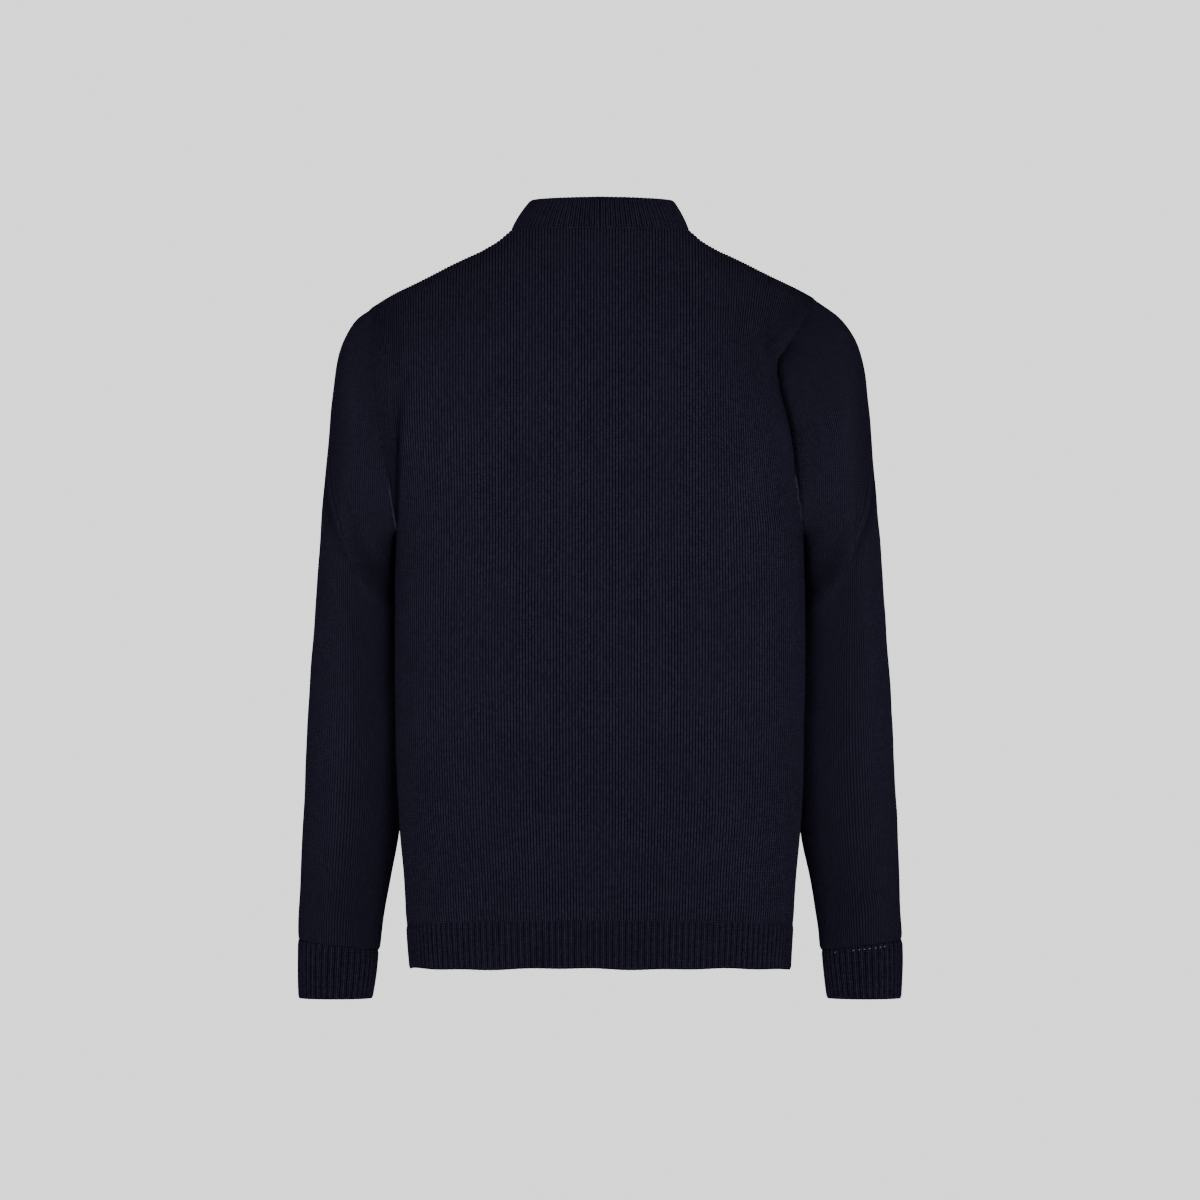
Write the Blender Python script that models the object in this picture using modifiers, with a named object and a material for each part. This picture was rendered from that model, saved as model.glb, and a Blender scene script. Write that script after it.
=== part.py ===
"""Zip-up cardigan, filled out as worn: knitted panels, ribbed bands and an open-end zip.

Metres, +Z up. The front faces -Y and the wearer's left is +X. The origin is the point
midway between the shoulders, level with the middle of the shoulder slope, from which the
garment hangs on its wearer.
"""
import math
from collections import namedtuple

import bmesh
import bpy
import numpy as np
from mathutils import Matrix, Vector

# ---------------------------------------------------------------- driving sizes (metres)
WALL = 0.0020                # knitted panels and sleeves
RIB_WALL = 0.0017            # ribbed bands, in the furrows
RIB_RAISE = 0.0010           # a rib above its furrow
SEAM_GAP = 0.0003            # between neighbouring pieces

SHOULDER_Z = -0.1340         # height of the armholes' middle
UNDERARM_Z = -0.2400
HEM_SEAM_Z = -0.6120
HEM_BOTTOM_Z = -0.6535
HEM_ARCH = 0.0090            # rise of the hem seam at the middle of the back
HEM_ARCH_FALL = 4.5          # how fast the rise dies out below the seam, by level
SIDE_SEAM_Y = 0.0120
FRONT_EDGE_X = 0.0045        # front edge to the middle of the zip
NECK_HALF_WIDTH = 0.0840
NECK_FRONT_Z = -0.0150

ARMHOLE_TOP_X = 0.2180
ARMHOLE_MIDDLE_X = 0.2095
ARMHOLE_DEPTH = {"back": 0.0610, "front": 0.0600}
SEAM_BEHIND = math.radians(24)       # shoulder seam behind the ridge, at the armhole

COLLAR_TOP_SHARE = {"left": 0.76, "right": 0.81}    # width of its top edge against its seam
COLLAR_TOP_BACK = 0.80       # its depth behind, against the seam's
COLLAR_TOP_FRONT = 0.93      # and in front
COLLAR_RISE = {"back": 0.0298, "side": 0.0282, "front": 0.0300}

RIB_PITCH = {"hem": 0.0059, "cuff": 0.0055, "collar": 0.0042}
CUFF_BOTTOM_Z = -0.6855

# The zip: strips from inner to outer edge, across from its middle line, and their depth
# outside the fronts' inner face.
TAPE = {"inner": 0.0022, "outer": 0.0090, "wall": 0.0010, "depth": -0.0031}
TEETH = {"inner": 0.0003, "outer": 0.0030, "wall": 0.0020, "depth": -0.0009}
ZIP_BOTTOM_Z = -0.6548
ZIP_TOP_Z = 0.0140
SLIDER_Z = 0.0060
SLIDER = {"width": 0.0068, "length": 0.0100, "plate": 0.0012, "back_share": 0.9,
          "rounding": 0.0004}
WEDGE = {"width": 0.0026, "low": 0.0006, "high": 0.0042}
BAIL = {"width": 0.0024, "height": 0.0038, "length": 0.0074, "bar": 0.0012, "sunk": 0.0003}
TAB = {"width": 0.0062, "length": 0.0190, "thick": 0.0012, "window": 0.0036, "hole": 0.0050,
       "tip_share": 0.6, "shoulder_share": 0.8}
TAB_AXIS_ABOVE_PLATE = 0.0015
TAB_AXIS_UP = 0.0006
TAB_TILT = math.radians(4)
BOTTOM_BOX = {"size": (0.0068, 0.0034, 0.0075), "out": 0.0012, "up": 0.0042}
TOP_STOP = {"size": (0.0014, 0.0018, 0.0024), "side": 0.0030, "out": 0.0010, "down": 0.0010}
TEETH_FROM_BOTTOM = 0.0085
TEETH_FROM_SLIDER = 0.0012
TAPE_FROM_BOTTOM = 0.0005

# How finely the pieces are divided.
ROWS_BELOW, BACK_ANGLE_STEPS, FRONT_ANGLE_STEPS = 9, 10, 13
NECK_COLUMNS, SIDE_COLUMNS = 6, 8
ZIP_ROWS = 25
QUARTER_PER_WIDTH = 1.30     # a quarter of the hem's length against its half width

# ---------------------------------------------------------------- tables
Section = namedtuple("Section", "z half_width back front")       # outer face of the torso
SECTIONS = [
    Section(-0.6540, 0.1803, 0.1175, 0.1185),
    Section(-0.6120, 0.1830, 0.1230, 0.1220),
    Section(-0.5700, 0.1852, 0.1255, 0.1240),
    Section(-0.5130, 0.1900, 0.1245, 0.1250),
    Section(-0.4200, 0.1932, 0.1160, 0.1245),
    Section(-0.3040, 0.1938, 0.1135, 0.1265),
    Section(-0.2400, 0.1925, 0.1155, 0.1280),
    Section(-0.1340, 0.1925, 0.1170, 0.1275),
    Section(-0.1200, 0.1925, 0.1170, 0.1275),
]

Ridge = namedtuple("Ridge", "x z")                               # top outline of the shoulder
RIDGE = [
    Ridge(0.0000, 0.0770),
    Ridge(0.0600, 0.0625),
    Ridge(0.0840, 0.0468),
    Ridge(0.0950, 0.0372),
    Ridge(0.1110, 0.0277),
    Ridge(0.1300, 0.0190),
    Ridge(0.1680, 0.0000),
    Ridge(0.2050, -0.0190),
    Ridge(0.2200, -0.0285),
]

Seam = namedtuple("Seam", "x behind")                            # degrees behind the ridge
SHOULDER_SEAM = [
    Seam(0.0840, 0.0),
    Seam(0.1100, 10.0),
    Seam(0.1550, 23.0),
    Seam(0.2180, 24.0),
]

# Each sleeve is a row of oval rings, from the armhole to the cuff, by their outer faces:
# the point on the outer side of the arm, the one against the body, and the depth. lean
# skews the side against the body, inward in front and outward behind.
Ring = namedtuple("Ring", "row outer_x outer_z inner_x inner_z centre_y half_depth lean")
SLEEVE = [
    Ring(0, 0.2195, -0.0285, 0.1945, -0.2400, 0.006, 0.0630, 0.00),
    Ring(1, 0.2330, -0.0395, 0.1960, -0.2420, 0.005, 0.0640, 0.06),
    Ring(2, 0.2440, -0.0590, 0.1965, -0.2470, 0.002, 0.0650, 0.16),
    Ring(3, 0.2513, -0.0840, 0.1962, -0.2560, -0.002, 0.0655, 0.24),
    Ring(4, 0.2551, -0.1140, 0.1957, -0.2690, -0.007, 0.0660, 0.28),
    Ring(5, 0.2580, -0.1450, 0.1949, -0.2850, -0.012, 0.0665, 0.30),
    Ring(6, 0.2613, -0.1850, 0.1941, -0.3050, -0.018, 0.0665, 0.30),
    Ring(7, 0.2647, -0.2280, 0.1926, -0.3290, -0.024, 0.0655, 0.28),
    Ring(8, 0.2685, -0.2750, 0.1906, -0.3580, -0.029, 0.0645, 0.26),
    Ring(9, 0.2720, -0.3200, 0.1884, -0.3890, -0.032, 0.0635, 0.23),
    Ring(10, 0.2753, -0.3700, 0.1868, -0.4240, -0.035, 0.0620, 0.21),
    Ring(11, 0.2785, -0.4180, 0.1871, -0.4600, -0.038, 0.0600, 0.18),
    Ring(12, 0.2813, -0.4700, 0.1896, -0.4970, -0.042, 0.0575, 0.15),
    Ring(13, 0.2837, -0.5200, 0.1945, -0.5340, -0.047, 0.0540, 0.12),
    Ring(14, 0.2857, -0.5650, 0.2015, -0.5700, -0.052, 0.0490, 0.08),
    Ring(15, 0.2878, -0.6050, 0.2080, -0.6090, -0.056, 0.0425, 0.04),
    Ring(16, 0.2887, -0.6290, 0.2112, -0.6385, -0.058, 0.0350, 0.00),
]
CUFF = [
    Ring(0, 0.2890, -0.6293, 0.2125, -0.6388, -0.058, 0.0330, 0.00),
    Ring(1, 0.2885, CUFF_BOTTOM_Z, 0.2180, CUFF_BOTTOM_Z, -0.060, 0.0300, 0.00),
]

# The fold where each sleeve pulls the back panel in: its lip, and the trough beside it.
Lip = namedtuple("Lip", "z left_x left_depth right_x right_depth")
LIPS = [
    Lip(-0.2600, 0.1905, 0.000, 0.1905, 0.000),
    Lip(-0.2100, 0.1880, 0.005, 0.1870, 0.001),
    Lip(-0.1600, 0.1850, 0.010, 0.1780, 0.001),
    Lip(-0.1200, 0.1800, 0.007, 0.1690, 0.001),
    Lip(-0.0800, 0.1770, 0.001, 0.1600, 0.003),
    Lip(-0.0500, 0.1750, 0.000, 0.1565, 0.004),
    Lip(-0.0300, 0.1750, 0.000, 0.1550, 0.002),
    Lip(-0.0150, 0.1750, 0.000, 0.1550, 0.000),
]

# How far the back of each armhole is drawn in toward the middle, by degrees round it from
# the top: the right one hides under the fold of the back panel.
Tuck = namedtuple("Tuck", "degrees left right")
TUCKS = [
    Tuck(-180.0, 0.0, 0.0),
    Tuck(-75.0, 0.0, 0.0),
    Tuck(-40.0, 0.0, 0.0030),
    Tuck(-15.0, 0.0, 0.0095),
    Tuck(0.0, 0.0, 0.0145),
    Tuck(24.0, 0.0, 0.0170),
    Tuck(40.0, 0.0, 0.0243),
    Tuck(57.0, 0.0, 0.0375),
    Tuck(66.0, 0.0, 0.0465),
    Tuck(75.0, 0.0, 0.0440),
    Tuck(90.0, 0.0, 0.0330),
    Tuck(105.0, 0.0, 0.0235),
    Tuck(120.0, 0.0, 0.0160),
    Tuck(140.0, 0.0, 0.0075),
    Tuck(160.0, 0.0, 0.0015),
    Tuck(180.0, 0.0, 0.0),
]

# Soft creases, straight from start to end; a height below zero is a trough.
Crease = namedtuple("Crease", "x_start z_start x_end z_end width height")
CREASES = {
    "back": [
        Crease(0.115, -0.225, 0.160, -0.375, 0.018, -0.0040),
        Crease(0.150, -0.410, 0.160, -0.490, 0.024, -0.0040),
        Crease(0.088, -0.320, 0.086, -0.425, 0.014, 0.0025),
        Crease(0.048, -0.490, 0.150, -0.610, 0.018, 0.0035),
        Crease(-0.082, -0.475, -0.155, -0.610, 0.018, 0.0035),
        Crease(0.000, 0.000, 0.000, -0.060, 0.050, -0.0030),
    ],
    "front": [
        Crease(0.185, -0.215, 0.120, -0.330, 0.018, -0.0040),
        Crease(-0.185, -0.225, -0.115, -0.320, 0.018, -0.0045),
        Crease(0.060, -0.470, 0.150, -0.590, 0.020, 0.0035),
        Crease(-0.070, -0.480, -0.150, -0.600, 0.020, 0.0035),
        Crease(0.165, -0.060, 0.115, -0.150, 0.018, -0.0030),
        Crease(-0.168, -0.070, -0.120, -0.145, 0.018, -0.0030),
    ],
}

SECTION_POWER = {"back": 2.35, "front": 2.05}    # squareness of the torso's sections
SHOULDER_POWER = {"back": 2.20, "front": 1.50}   # fullness of the arch over the shoulder
OPEN_POWERS = (2.6, 1.35)                        # a row that ends at the armhole
LIP_POWERS = (4.0, 2.0)                          # and one that ends under a fold's lip
FULL_TUCK = 0.0200                               # a fold this deep has its whole lip
LIP_ROOM = 0.8                                   # walls kept free under the lip

# ---------------------------------------------------------------- colours
Finish = namedtuple("Finish", "colour roughness metallic")
FINISHES = {
    "knit": Finish((0.0095, 0.0095, 0.0185), 0.92, 0.0),
    "rib": Finish((0.0075, 0.0075, 0.0150), 0.94, 0.0),
    "tape": Finish((0.0080, 0.0080, 0.0150), 0.85, 0.0),
    "teeth": Finish((0.0300, 0.0300, 0.0320), 0.35, 1.0),
    "metal": Finish((0.0300, 0.0300, 0.0320), 0.30, 1.0),
}


# ---------------------------------------------------------------- curves
def smooth(table, column, at):
    """Smooth value of a table's column; the table rises by its first column."""
    fields = table[0]._fields
    rows = np.array(table)
    keys, values = rows[:, 0], rows[:, fields.index(column)]
    slopes = np.gradient(values, keys)
    at = np.clip(at, keys[0], keys[-1])
    low = np.clip(np.searchsorted(keys, at, side="right") - 1, 0, len(keys) - 2)
    step = keys[low + 1] - keys[low]
    t = (at - keys[low]) / step
    start = values[low] * (2 * t**3 - 3 * t**2 + 1) + slopes[low] * step * (t**3 - 2 * t**2 + t)
    end = values[low + 1] * (3 * t**2 - 2 * t**3) + slopes[low + 1] * step * (t**3 - t**2)
    return start + end


def even_steps(x, y):
    """Share of the length run at each point of a curve."""
    run = np.concatenate([[0.0], np.cumsum(np.hypot(np.diff(x), np.diff(y)))])
    return run / run[-1]


def width_shares():
    """Tables from a share of the way round half a section to its share of the width."""
    power = SECTION_POWER["back"]
    turn = np.linspace(0.0, math.pi / 2, 600)
    x = np.sin(turn) ** (2 / power)
    y = np.cos(turn) ** (2 / power) * 0.55
    return even_steps(x, y), x


ACROSS_SHARE, WIDTH_SHARE = width_shares()


def width_share(across):
    return np.interp(across, ACROSS_SHARE, WIDTH_SHARE)


def across_at(x):
    """Place across the torso, 0 to 1, of a column that stands at this x."""
    underarm_width = smooth(SECTIONS, "half_width", UNDERARM_Z) - WALL
    return np.interp(x / underarm_width, WIDTH_SHARE, ACROSS_SHARE)


# ---------------------------------------------------------------- torso
def crease_relief(rows, x, z):
    """Height of the soft creases at a place seen from the front or back."""
    height = np.zeros_like(x)
    for row in rows:
        along_x, along_z = row.x_end - row.x_start, row.z_end - row.z_start
        length = math.hypot(along_x, along_z)
        share = ((x - row.x_start) * along_x + (z - row.z_start) * along_z) / length**2
        share = np.clip(share, 0.0, 1.0)
        away = np.hypot(x - row.x_start - share * along_x, z - row.z_start - share * along_z)
        height += row.height * np.exp(-((away / row.width) ** 2)) * np.sin(math.pi * share) ** 0.7
    return height


def fold_relief(x, z, edge_x):
    """Depth of the trough between the fold's lip and the armhole, on the back."""
    depth = np.zeros_like(x)
    for sign, side in ((1, "left"), (-1, "right")):
        lip_x = smooth(LIPS, side + "_x", z)
        share = np.clip((sign * x - lip_x) / np.maximum(edge_x - lip_x, 0.004), 0.0, 1.0)
        inside = (z > LIPS[0].z) & (z < LIPS[-1].z)
        trough = smooth(LIPS, side + "_depth", z) * np.sin(math.pi * share**0.7)
        depth += np.where(inside, trough, 0.0)
    return -depth


def arch_end(half, x):
    """Angle up the arch, from the shoulder blades, at which a column of the panel ends."""
    power = SHOULDER_POWER[half]
    neck_side_z = smooth(RIDGE, "z", NECK_HALF_WIDTH) - WALL
    if half == "back":
        neck_z = neck_side_z
    else:
        round_share = np.sqrt(1 - np.clip(x / NECK_HALF_WIDTH, 0, 1) ** 2)
        neck_z = NECK_FRONT_Z + (neck_side_z - NECK_FRONT_Z) * (1 - round_share)
    height = smooth(RIDGE, "z", x) - WALL - SHOULDER_Z
    ratio = np.clip((neck_z - SHOULDER_Z) / height, 0, 1)
    at_neck = np.arcsin(ratio ** (power / 2))
    behind = np.radians(smooth(SHOULDER_SEAM, "behind", x))
    at_seam = math.pi / 2 - behind if half == "back" else math.pi / 2 + behind
    return np.where(x < NECK_HALF_WIDTH - 1e-6, at_neck, at_seam)


def row_depth(half, x_share, edge_y, middle_y, openness, tuck):
    """Depth of a row: round like a tube below the arm, open where it meets the armhole."""
    power = SECTION_POWER[half]
    lip = np.clip(tuck / FULL_TUCK, 0, 1)
    width_open = OPEN_POWERS[0] + (LIP_POWERS[0] - OPEN_POWERS[0]) * lip
    depth_open = OPEN_POWERS[1] + (LIP_POWERS[1] - OPEN_POWERS[1]) * lip
    width_power = power + (width_open - power) * openness
    depth_power = power + (depth_open - power) * openness
    fullness = (1 - np.clip(x_share, 0, 1) ** width_power) ** (1 / depth_power)
    return edge_y + (middle_y - edge_y) * fullness


def torso(half, across, level):
    """Inner face of the torso. across runs -1 to 1 from seam to seam. level runs from 0 at
    the hem seam to 1 at the underarm and 2 at the shoulder seam and neckline."""
    sign = 1 if half == "back" else -1
    across, level = np.broadcast_arrays(np.asarray(across, float), np.asarray(level, float))
    side, q = np.where(across < 0, -1.0, 1.0), np.abs(across)
    share = width_share(q)

    below_z = HEM_SEAM_Z + (UNDERARM_Z - HEM_SEAM_Z) * np.minimum(level, 1.0)
    width = smooth(SECTIONS, "half_width", below_z) - WALL
    if half == "back":
        held = np.where(level < 0, 1 + HEM_ARCH_FALL * level, np.clip(1 - level, 0, 1) ** 2)
        below_z = below_z + HEM_ARCH * (1 - q**2) * held
    end = SEAM_BEHIND if half == "back" else -SEAM_BEHIND
    angle = math.pi - (math.pi - end) * np.clip(level - 1, 0, 1)
    rise = np.cos(angle)
    underarm_x = smooth(SECTIONS, "half_width", UNDERARM_Z) - WALL
    edge_x = np.where(rise > 0, ARMHOLE_MIDDLE_X + (ARMHOLE_TOP_X - ARMHOLE_MIDDLE_X) * rise,
                      ARMHOLE_MIDDLE_X + (ARMHOLE_MIDDLE_X - underarm_x) * rise)
    turned = np.degrees(angle) * sign
    tuck = np.where(side > 0, smooth(TUCKS, "left", turned), smooth(TUCKS, "right", turned))
    tuck = np.where(level > 1, np.maximum(tuck, 0.0), 0.0)
    edge_x = np.where(level > 1, edge_x, width)
    armhole_depth = ARMHOLE_DEPTH[half] - WALL
    seam_y = sign * SIDE_SEAM_Y
    edge_y = armhole_depth * np.sin(angle) + seam_y * np.maximum(0, -rise)
    edge_y = np.where(level > 1, edge_y, seam_y)

    x = width * share + (edge_x - width) * q**4
    from_neck = np.clip((x - NECK_HALF_WIDTH) / (edge_x - NECK_HALF_WIDTH), 0, 1)
    x = x - tuck * from_neck**2
    z = np.where(level > 1, SHOULDER_Z + (SHOULDER_Z - UNDERARM_Z) * rise, below_z)
    z = np.minimum(z, SHOULDER_Z)
    openness = np.clip((z - UNDERARM_Z) / (SHOULDER_Z - UNDERARM_Z), 0, 1)
    openness = openness * openness * (3 - 2 * openness)
    middle = smooth(SECTIONS, half, z) - WALL
    arch = (level > 1) & (rise > 0)
    row_edge_x = np.where(arch, ARMHOLE_MIDDLE_X, edge_x)
    row_x = width * share + (row_edge_x - width) * q**4
    row_edge_y = seam_y + (armhole_depth - seam_y) * openness
    depth = row_depth(half, row_x / row_edge_x, row_edge_y, middle, openness,
                      tuck * from_neck)
    depth = depth + np.where(rise > 0, 0, edge_y - row_edge_y) * q**16

    climb = np.clip((math.pi / 2 - angle) / (math.pi / 2 - end), 0, 1) * arch_end(half, x)
    power = 2 + (SHOULDER_POWER[half] - 2) * (1 - q**3)
    crest = smooth(RIDGE, "z", x) - WALL - SHOULDER_Z
    arch_y = depth * np.clip(np.cos(climb), 0, 1) ** (2 / power)
    arch_z = SHOULDER_Z + crest * np.sin(climb) ** (2 / power)
    if half == "front":
        over = climb > math.pi / 2
        back_middle = smooth(SECTIONS, "back", SHOULDER_Z) - WALL
        back_depth = row_depth("back", row_x / row_edge_x, ARMHOLE_DEPTH["back"] - WALL,
                               back_middle, 1.0, tuck * from_neck)
        back_power = 2 + (SHOULDER_POWER["back"] - 2) * (1 - q**3)
        behind = np.clip(-np.cos(climb), 0, 1)
        arch_y = np.where(over, -back_depth * behind ** (2 / back_power), arch_y)
        arch_z = np.where(over, SHOULDER_Z + crest * np.abs(np.sin(climb)) ** (2 / back_power),
                          arch_z)
    depth = np.where(arch, arch_y, depth)
    z = np.where(arch, arch_z, z)

    relief = crease_relief(CREASES[half], side * x, z)
    if half == "back":
        relief = relief + fold_relief(side * x, z, edge_x)
    hem_fade = np.clip((z - HEM_SEAM_Z) / 0.03, 0, 1)
    seam_fade = 1 - q**8
    end_fade = np.where(arch, 1 - (climb / arch_end(half, x)) ** 4, 1.0)
    depth = depth + relief * hem_fade * seam_fade * end_fade
    return np.stack([side * x, sign * depth, z], axis=-1)


# ---------------------------------------------------------------- rings of sleeve and cuff
def ring(table, row, angle, wall):
    """Inner face of a sleeve on the +X side. angle is 0 outside, and rises to the back."""
    outer = np.stack([smooth(table, "outer_x", row), smooth(table, "outer_z", row)], -1)
    inner = np.stack([smooth(table, "inner_x", row), smooth(table, "inner_z", row)], -1)
    middle, half = (outer + inner) / 2, (outer - inner) / 2
    length = np.linalg.norm(half, axis=-1, keepdims=True)
    half = half * (length - wall) / length
    depth = (smooth(table, "half_depth", row) - wall) * np.sin(angle)
    to_body = (1 - np.cos(angle)) / 2
    skew = smooth(table, "lean", row) * depth * to_body
    x = middle[..., 0] + half[..., 0] * np.cos(angle) + skew
    z = middle[..., 1] + half[..., 1] * np.cos(angle)
    return np.stack([x, smooth(table, "centre_y", row) + depth, z], axis=-1)


def armhole(angle, side):
    """Inner face at one armhole's edge, brought to the +X side, by the same angle. side is
    1 for the left and -1 for the right."""
    back = (angle >= SEAM_BEHIND) & (angle <= math.pi)
    turned = np.where(back, angle, -angle)
    end = np.where(back, SEAM_BEHIND, -SEAM_BEHIND)
    level = 1 + (math.pi - turned) / (math.pi - end)
    edge = np.where(back[..., None], torso("back", side, level), torso("front", side, level))
    return edge * np.array([side, 1, 1])


def sleeve(row, angle, side):
    """Inner face of a sleeve: its rings, bent at the top to fit the armhole."""
    row, angle = np.broadcast_arrays(np.asarray(row, float), np.asarray(angle, float))
    low_front = np.clip(-np.sin(angle), 0, 1) * np.clip(-np.cos(angle), 0, 1)
    lean_out = 1.0 - 0.5 * np.clip(np.cos(angle), 0, 1) ** 2 + 2.4 * low_front
    mouth = armhole(angle, side)
    tucked = smooth(TUCKS, "left" if side > 0 else "right", np.degrees(angle))
    lean_out = lean_out + LIP_ROOM * np.clip(tucked / FULL_TUCK, 0, 1)
    mouth[..., 0] += WALL * lean_out + 3 * SEAM_GAP
    fit = np.clip(1 - row / 2, 0, 1)[..., None] ** 2
    first = ring(SLEEVE, np.zeros_like(row), angle, WALL)
    return ring(SLEEVE, row, angle, WALL) + (mouth - first) * fit


# ---------------------------------------------------------------- collar
def neckline(turn):
    """Inner face at the neckline. turn is -1 at the centre front, 0 at the side and 1 at
    the centre back, on the +X side."""
    x = np.maximum(NECK_HALF_WIDTH * np.cos(turn * math.pi / 2), 0.0)
    back = torso("back", across_at(x), 2.0)
    front = torso("front", across_at(x), 2.0)
    return np.where((turn > 0)[..., None], back, front)


def collar_loop(count):
    """Evenly spaced points of the neckline, from the left front edge round to the right."""
    start = -math.acos(FRONT_EDGE_X / NECK_HALF_WIDTH) * 2 / math.pi
    turn = np.linspace(start, 1.0, 400)
    half = neckline(turn)
    run = np.concatenate([[0], np.cumsum(np.linalg.norm(np.diff(half, axis=0), axis=1))])
    wanted = np.linspace(0, run[-1], count // 2 + 1)
    turns = np.interp(wanted, run, turn)
    left = np.stack([np.interp(wanted, run, half[:, axis]) for axis in range(3)], -1)
    right = left[-2::-1] * np.array([-1, 1, 1])
    return np.concatenate([turns, turns[-2::-1]]), np.concatenate([left, right])


def collar_points(count, heights):
    """Inner face of the collar, from its seam up to its top edge."""
    turn, base = collar_loop(count)
    seam_lift = WALL * 0.85 + SEAM_GAP
    behind = np.clip(turn, 0, 1)[:, None] ** 1.5
    before = np.clip(-turn, 0, 1)[:, None] ** 1.5
    rise = COLLAR_RISE["side"] + (COLLAR_RISE["back"] - COLLAR_RISE["side"]) * behind
    rise = rise + (COLLAR_RISE["front"] - COLLAR_RISE["side"]) * before
    depth_share = np.where(turn > 0, COLLAR_TOP_BACK, COLLAR_TOP_FRONT)
    beyond_zip = np.sign(base[:, 0]) * np.minimum(np.abs(base[:, 0]), FRONT_EDGE_X)
    top_share = np.where(base[:, 0] > 0, COLLAR_TOP_SHARE["left"], COLLAR_TOP_SHARE["right"])
    top_x = beyond_zip + (base[:, 0] - beyond_zip) * top_share
    top = np.stack([top_x, base[:, 1] * depth_share, base[:, 2]], -1)
    top[:, 2:] += rise
    base = base + np.array([0, 0, seam_lift])
    return np.stack([base + (top - base) * share for share in heights])


# ---------------------------------------------------------------- the zip's line
def front_line(z):
    """Depth of the fronts' inner face beside the zip, at heights from hem to collar."""
    level = np.linspace(-0.12, 2.0, 300)
    panel = torso("front", across_at(FRONT_EDGE_X), level)
    edge = collar_points(8, (0.0, 1.0))[:, 0]
    line = np.concatenate([panel[:, 1:], edge[:, 1:]])
    return np.interp(z, line[:, 1], line[:, 0])


def zip_frame(z):
    """Place on the zip's middle line, with its upward and outward directions."""
    step = 0.002
    along = Vector((0, float(front_line(z + step) - front_line(z - step)), 2 * step)).normalized()
    out = Vector((0, -along.z, along.y))
    return Vector((0, float(front_line(z)), z)), along, out


def zip_strip(x_inner, x_outer, z_low, z_high, rows, depth):
    """Grid along the zip, on the +X side, moved out from the fronts' inner face."""
    points = []
    for z in np.linspace(z_low, z_high, rows):
        place, _, out = zip_frame(z)
        points.append([[x, *(place + out * depth)[1:]] for x in (x_inner, x_outer)])
    return np.array(points)


# ---------------------------------------------------------------- making objects
def clear_scene():
    for item in list(bpy.data.objects):
        bpy.data.objects.remove(item, do_unlink=True)


def make_collection(name):
    collection = bpy.data.collections.new(name)
    bpy.context.scene.collection.children.link(collection)
    return collection


def make_material(name, finish):
    material = bpy.data.materials.new(name)
    material.use_nodes = True
    shader = material.node_tree.nodes["Principled BSDF"]
    shader.inputs["Base Color"].default_value = (*finish.colour, 1.0)
    shader.inputs["Roughness"].default_value = finish.roughness
    shader.inputs["Metallic"].default_value = finish.metallic
    return material


def finish_object(piece, finish, collection):
    """Move an object to the garment's collection and give it its own material."""
    for holder in list(piece.users_collection):
        holder.objects.unlink(piece)
    collection.objects.link(piece)
    piece.data.materials.clear()
    piece.data.materials.append(make_material(piece.name, FINISHES[finish]))
    return piece


def cloth(name, points, wall, finish, collection, closed=False, ribs=None):
    """A wall of cloth: a grid on its inner face, thickened outward. ribs gives each
    column's share of the wall, which leaves the inside plain."""
    rows, columns = points.shape[:2]
    mesh_points = bmesh.new()
    bmesh.ops.create_grid(mesh_points, x_segments=columns - 1, y_segments=rows - 1, size=1.0)
    mesh_points.verts.ensure_lookup_table()
    for index, vertex in enumerate(mesh_points.verts):
        vertex.co = points[index // columns, index % columns]
    if closed:
        bmesh.ops.remove_doubles(mesh_points, verts=mesh_points.verts, dist=1e-6)
    middle = points.reshape(-1, 3).mean(axis=0) if closed else (0, 0, SHOULDER_Z)
    mesh_points.normal_update()
    facing = sum(face.normal.dot(face.calc_center_median() - Vector(middle))
                 for face in mesh_points.faces)
    if facing < 0:
        bmesh.ops.reverse_faces(mesh_points, faces=mesh_points.faces)
    mesh = bpy.data.meshes.new(name)
    mesh_points.to_mesh(mesh)
    mesh_points.free()
    piece = bpy.data.objects.new(name, mesh)
    collection.objects.link(piece)
    solidify = piece.modifiers.new("wall", "SOLIDIFY")
    solidify.thickness = wall
    solidify.offset = 1.0
    solidify.use_quality_normals = True
    if ribs is not None:
        group = piece.vertex_groups.new(name="ribs")
        for column in range(columns - 1 if closed else columns):
            members = [row * (columns - 1 if closed else columns) + column for row in range(rows)]
            group.add(members, float(ribs[column]), "REPLACE")
        solidify.vertex_group = "ribs"
    mesh.shade_smooth()
    return finish_object(piece, finish, collection)


def mirrored(points):
    return points * np.array([-1, 1, 1])


def box(name, size, place=(0, 0, 0)):
    bpy.ops.mesh.primitive_cube_add(size=1.0, location=place)
    piece = bpy.context.object
    piece.name = piece.data.name = name
    piece.scale = size
    bpy.ops.object.transform_apply(location=True, rotation=False, scale=True)
    return piece


def combine(piece, other, operation, helpers):
    """Boolean with a helper, which is kept out of the model."""
    modifier = piece.modifiers.new(other.name, "BOOLEAN")
    modifier.operation = operation
    modifier.object = other
    other.hide_render = True
    other.display_type = "WIRE"
    for holder in list(other.users_collection):
        holder.objects.unlink(other)
    helpers.objects.link(other)


def round_edges(piece, width):
    bevel = piece.modifiers.new("rounding", "BEVEL")
    bevel.width = width
    bevel.segments = 2
    bevel.limit_method = "ANGLE"


# ---------------------------------------------------------------- pieces
def half_columns(start_x):
    """Columns from the middle to the side seam; one stands at the neck point."""
    neck = across_at(np.linspace(start_x, NECK_HALF_WIDTH, NECK_COLUMNS + 1))
    side = np.linspace(neck[-1], 1.0, SIDE_COLUMNS + 1)
    return np.concatenate([neck, side[1:]])


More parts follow.
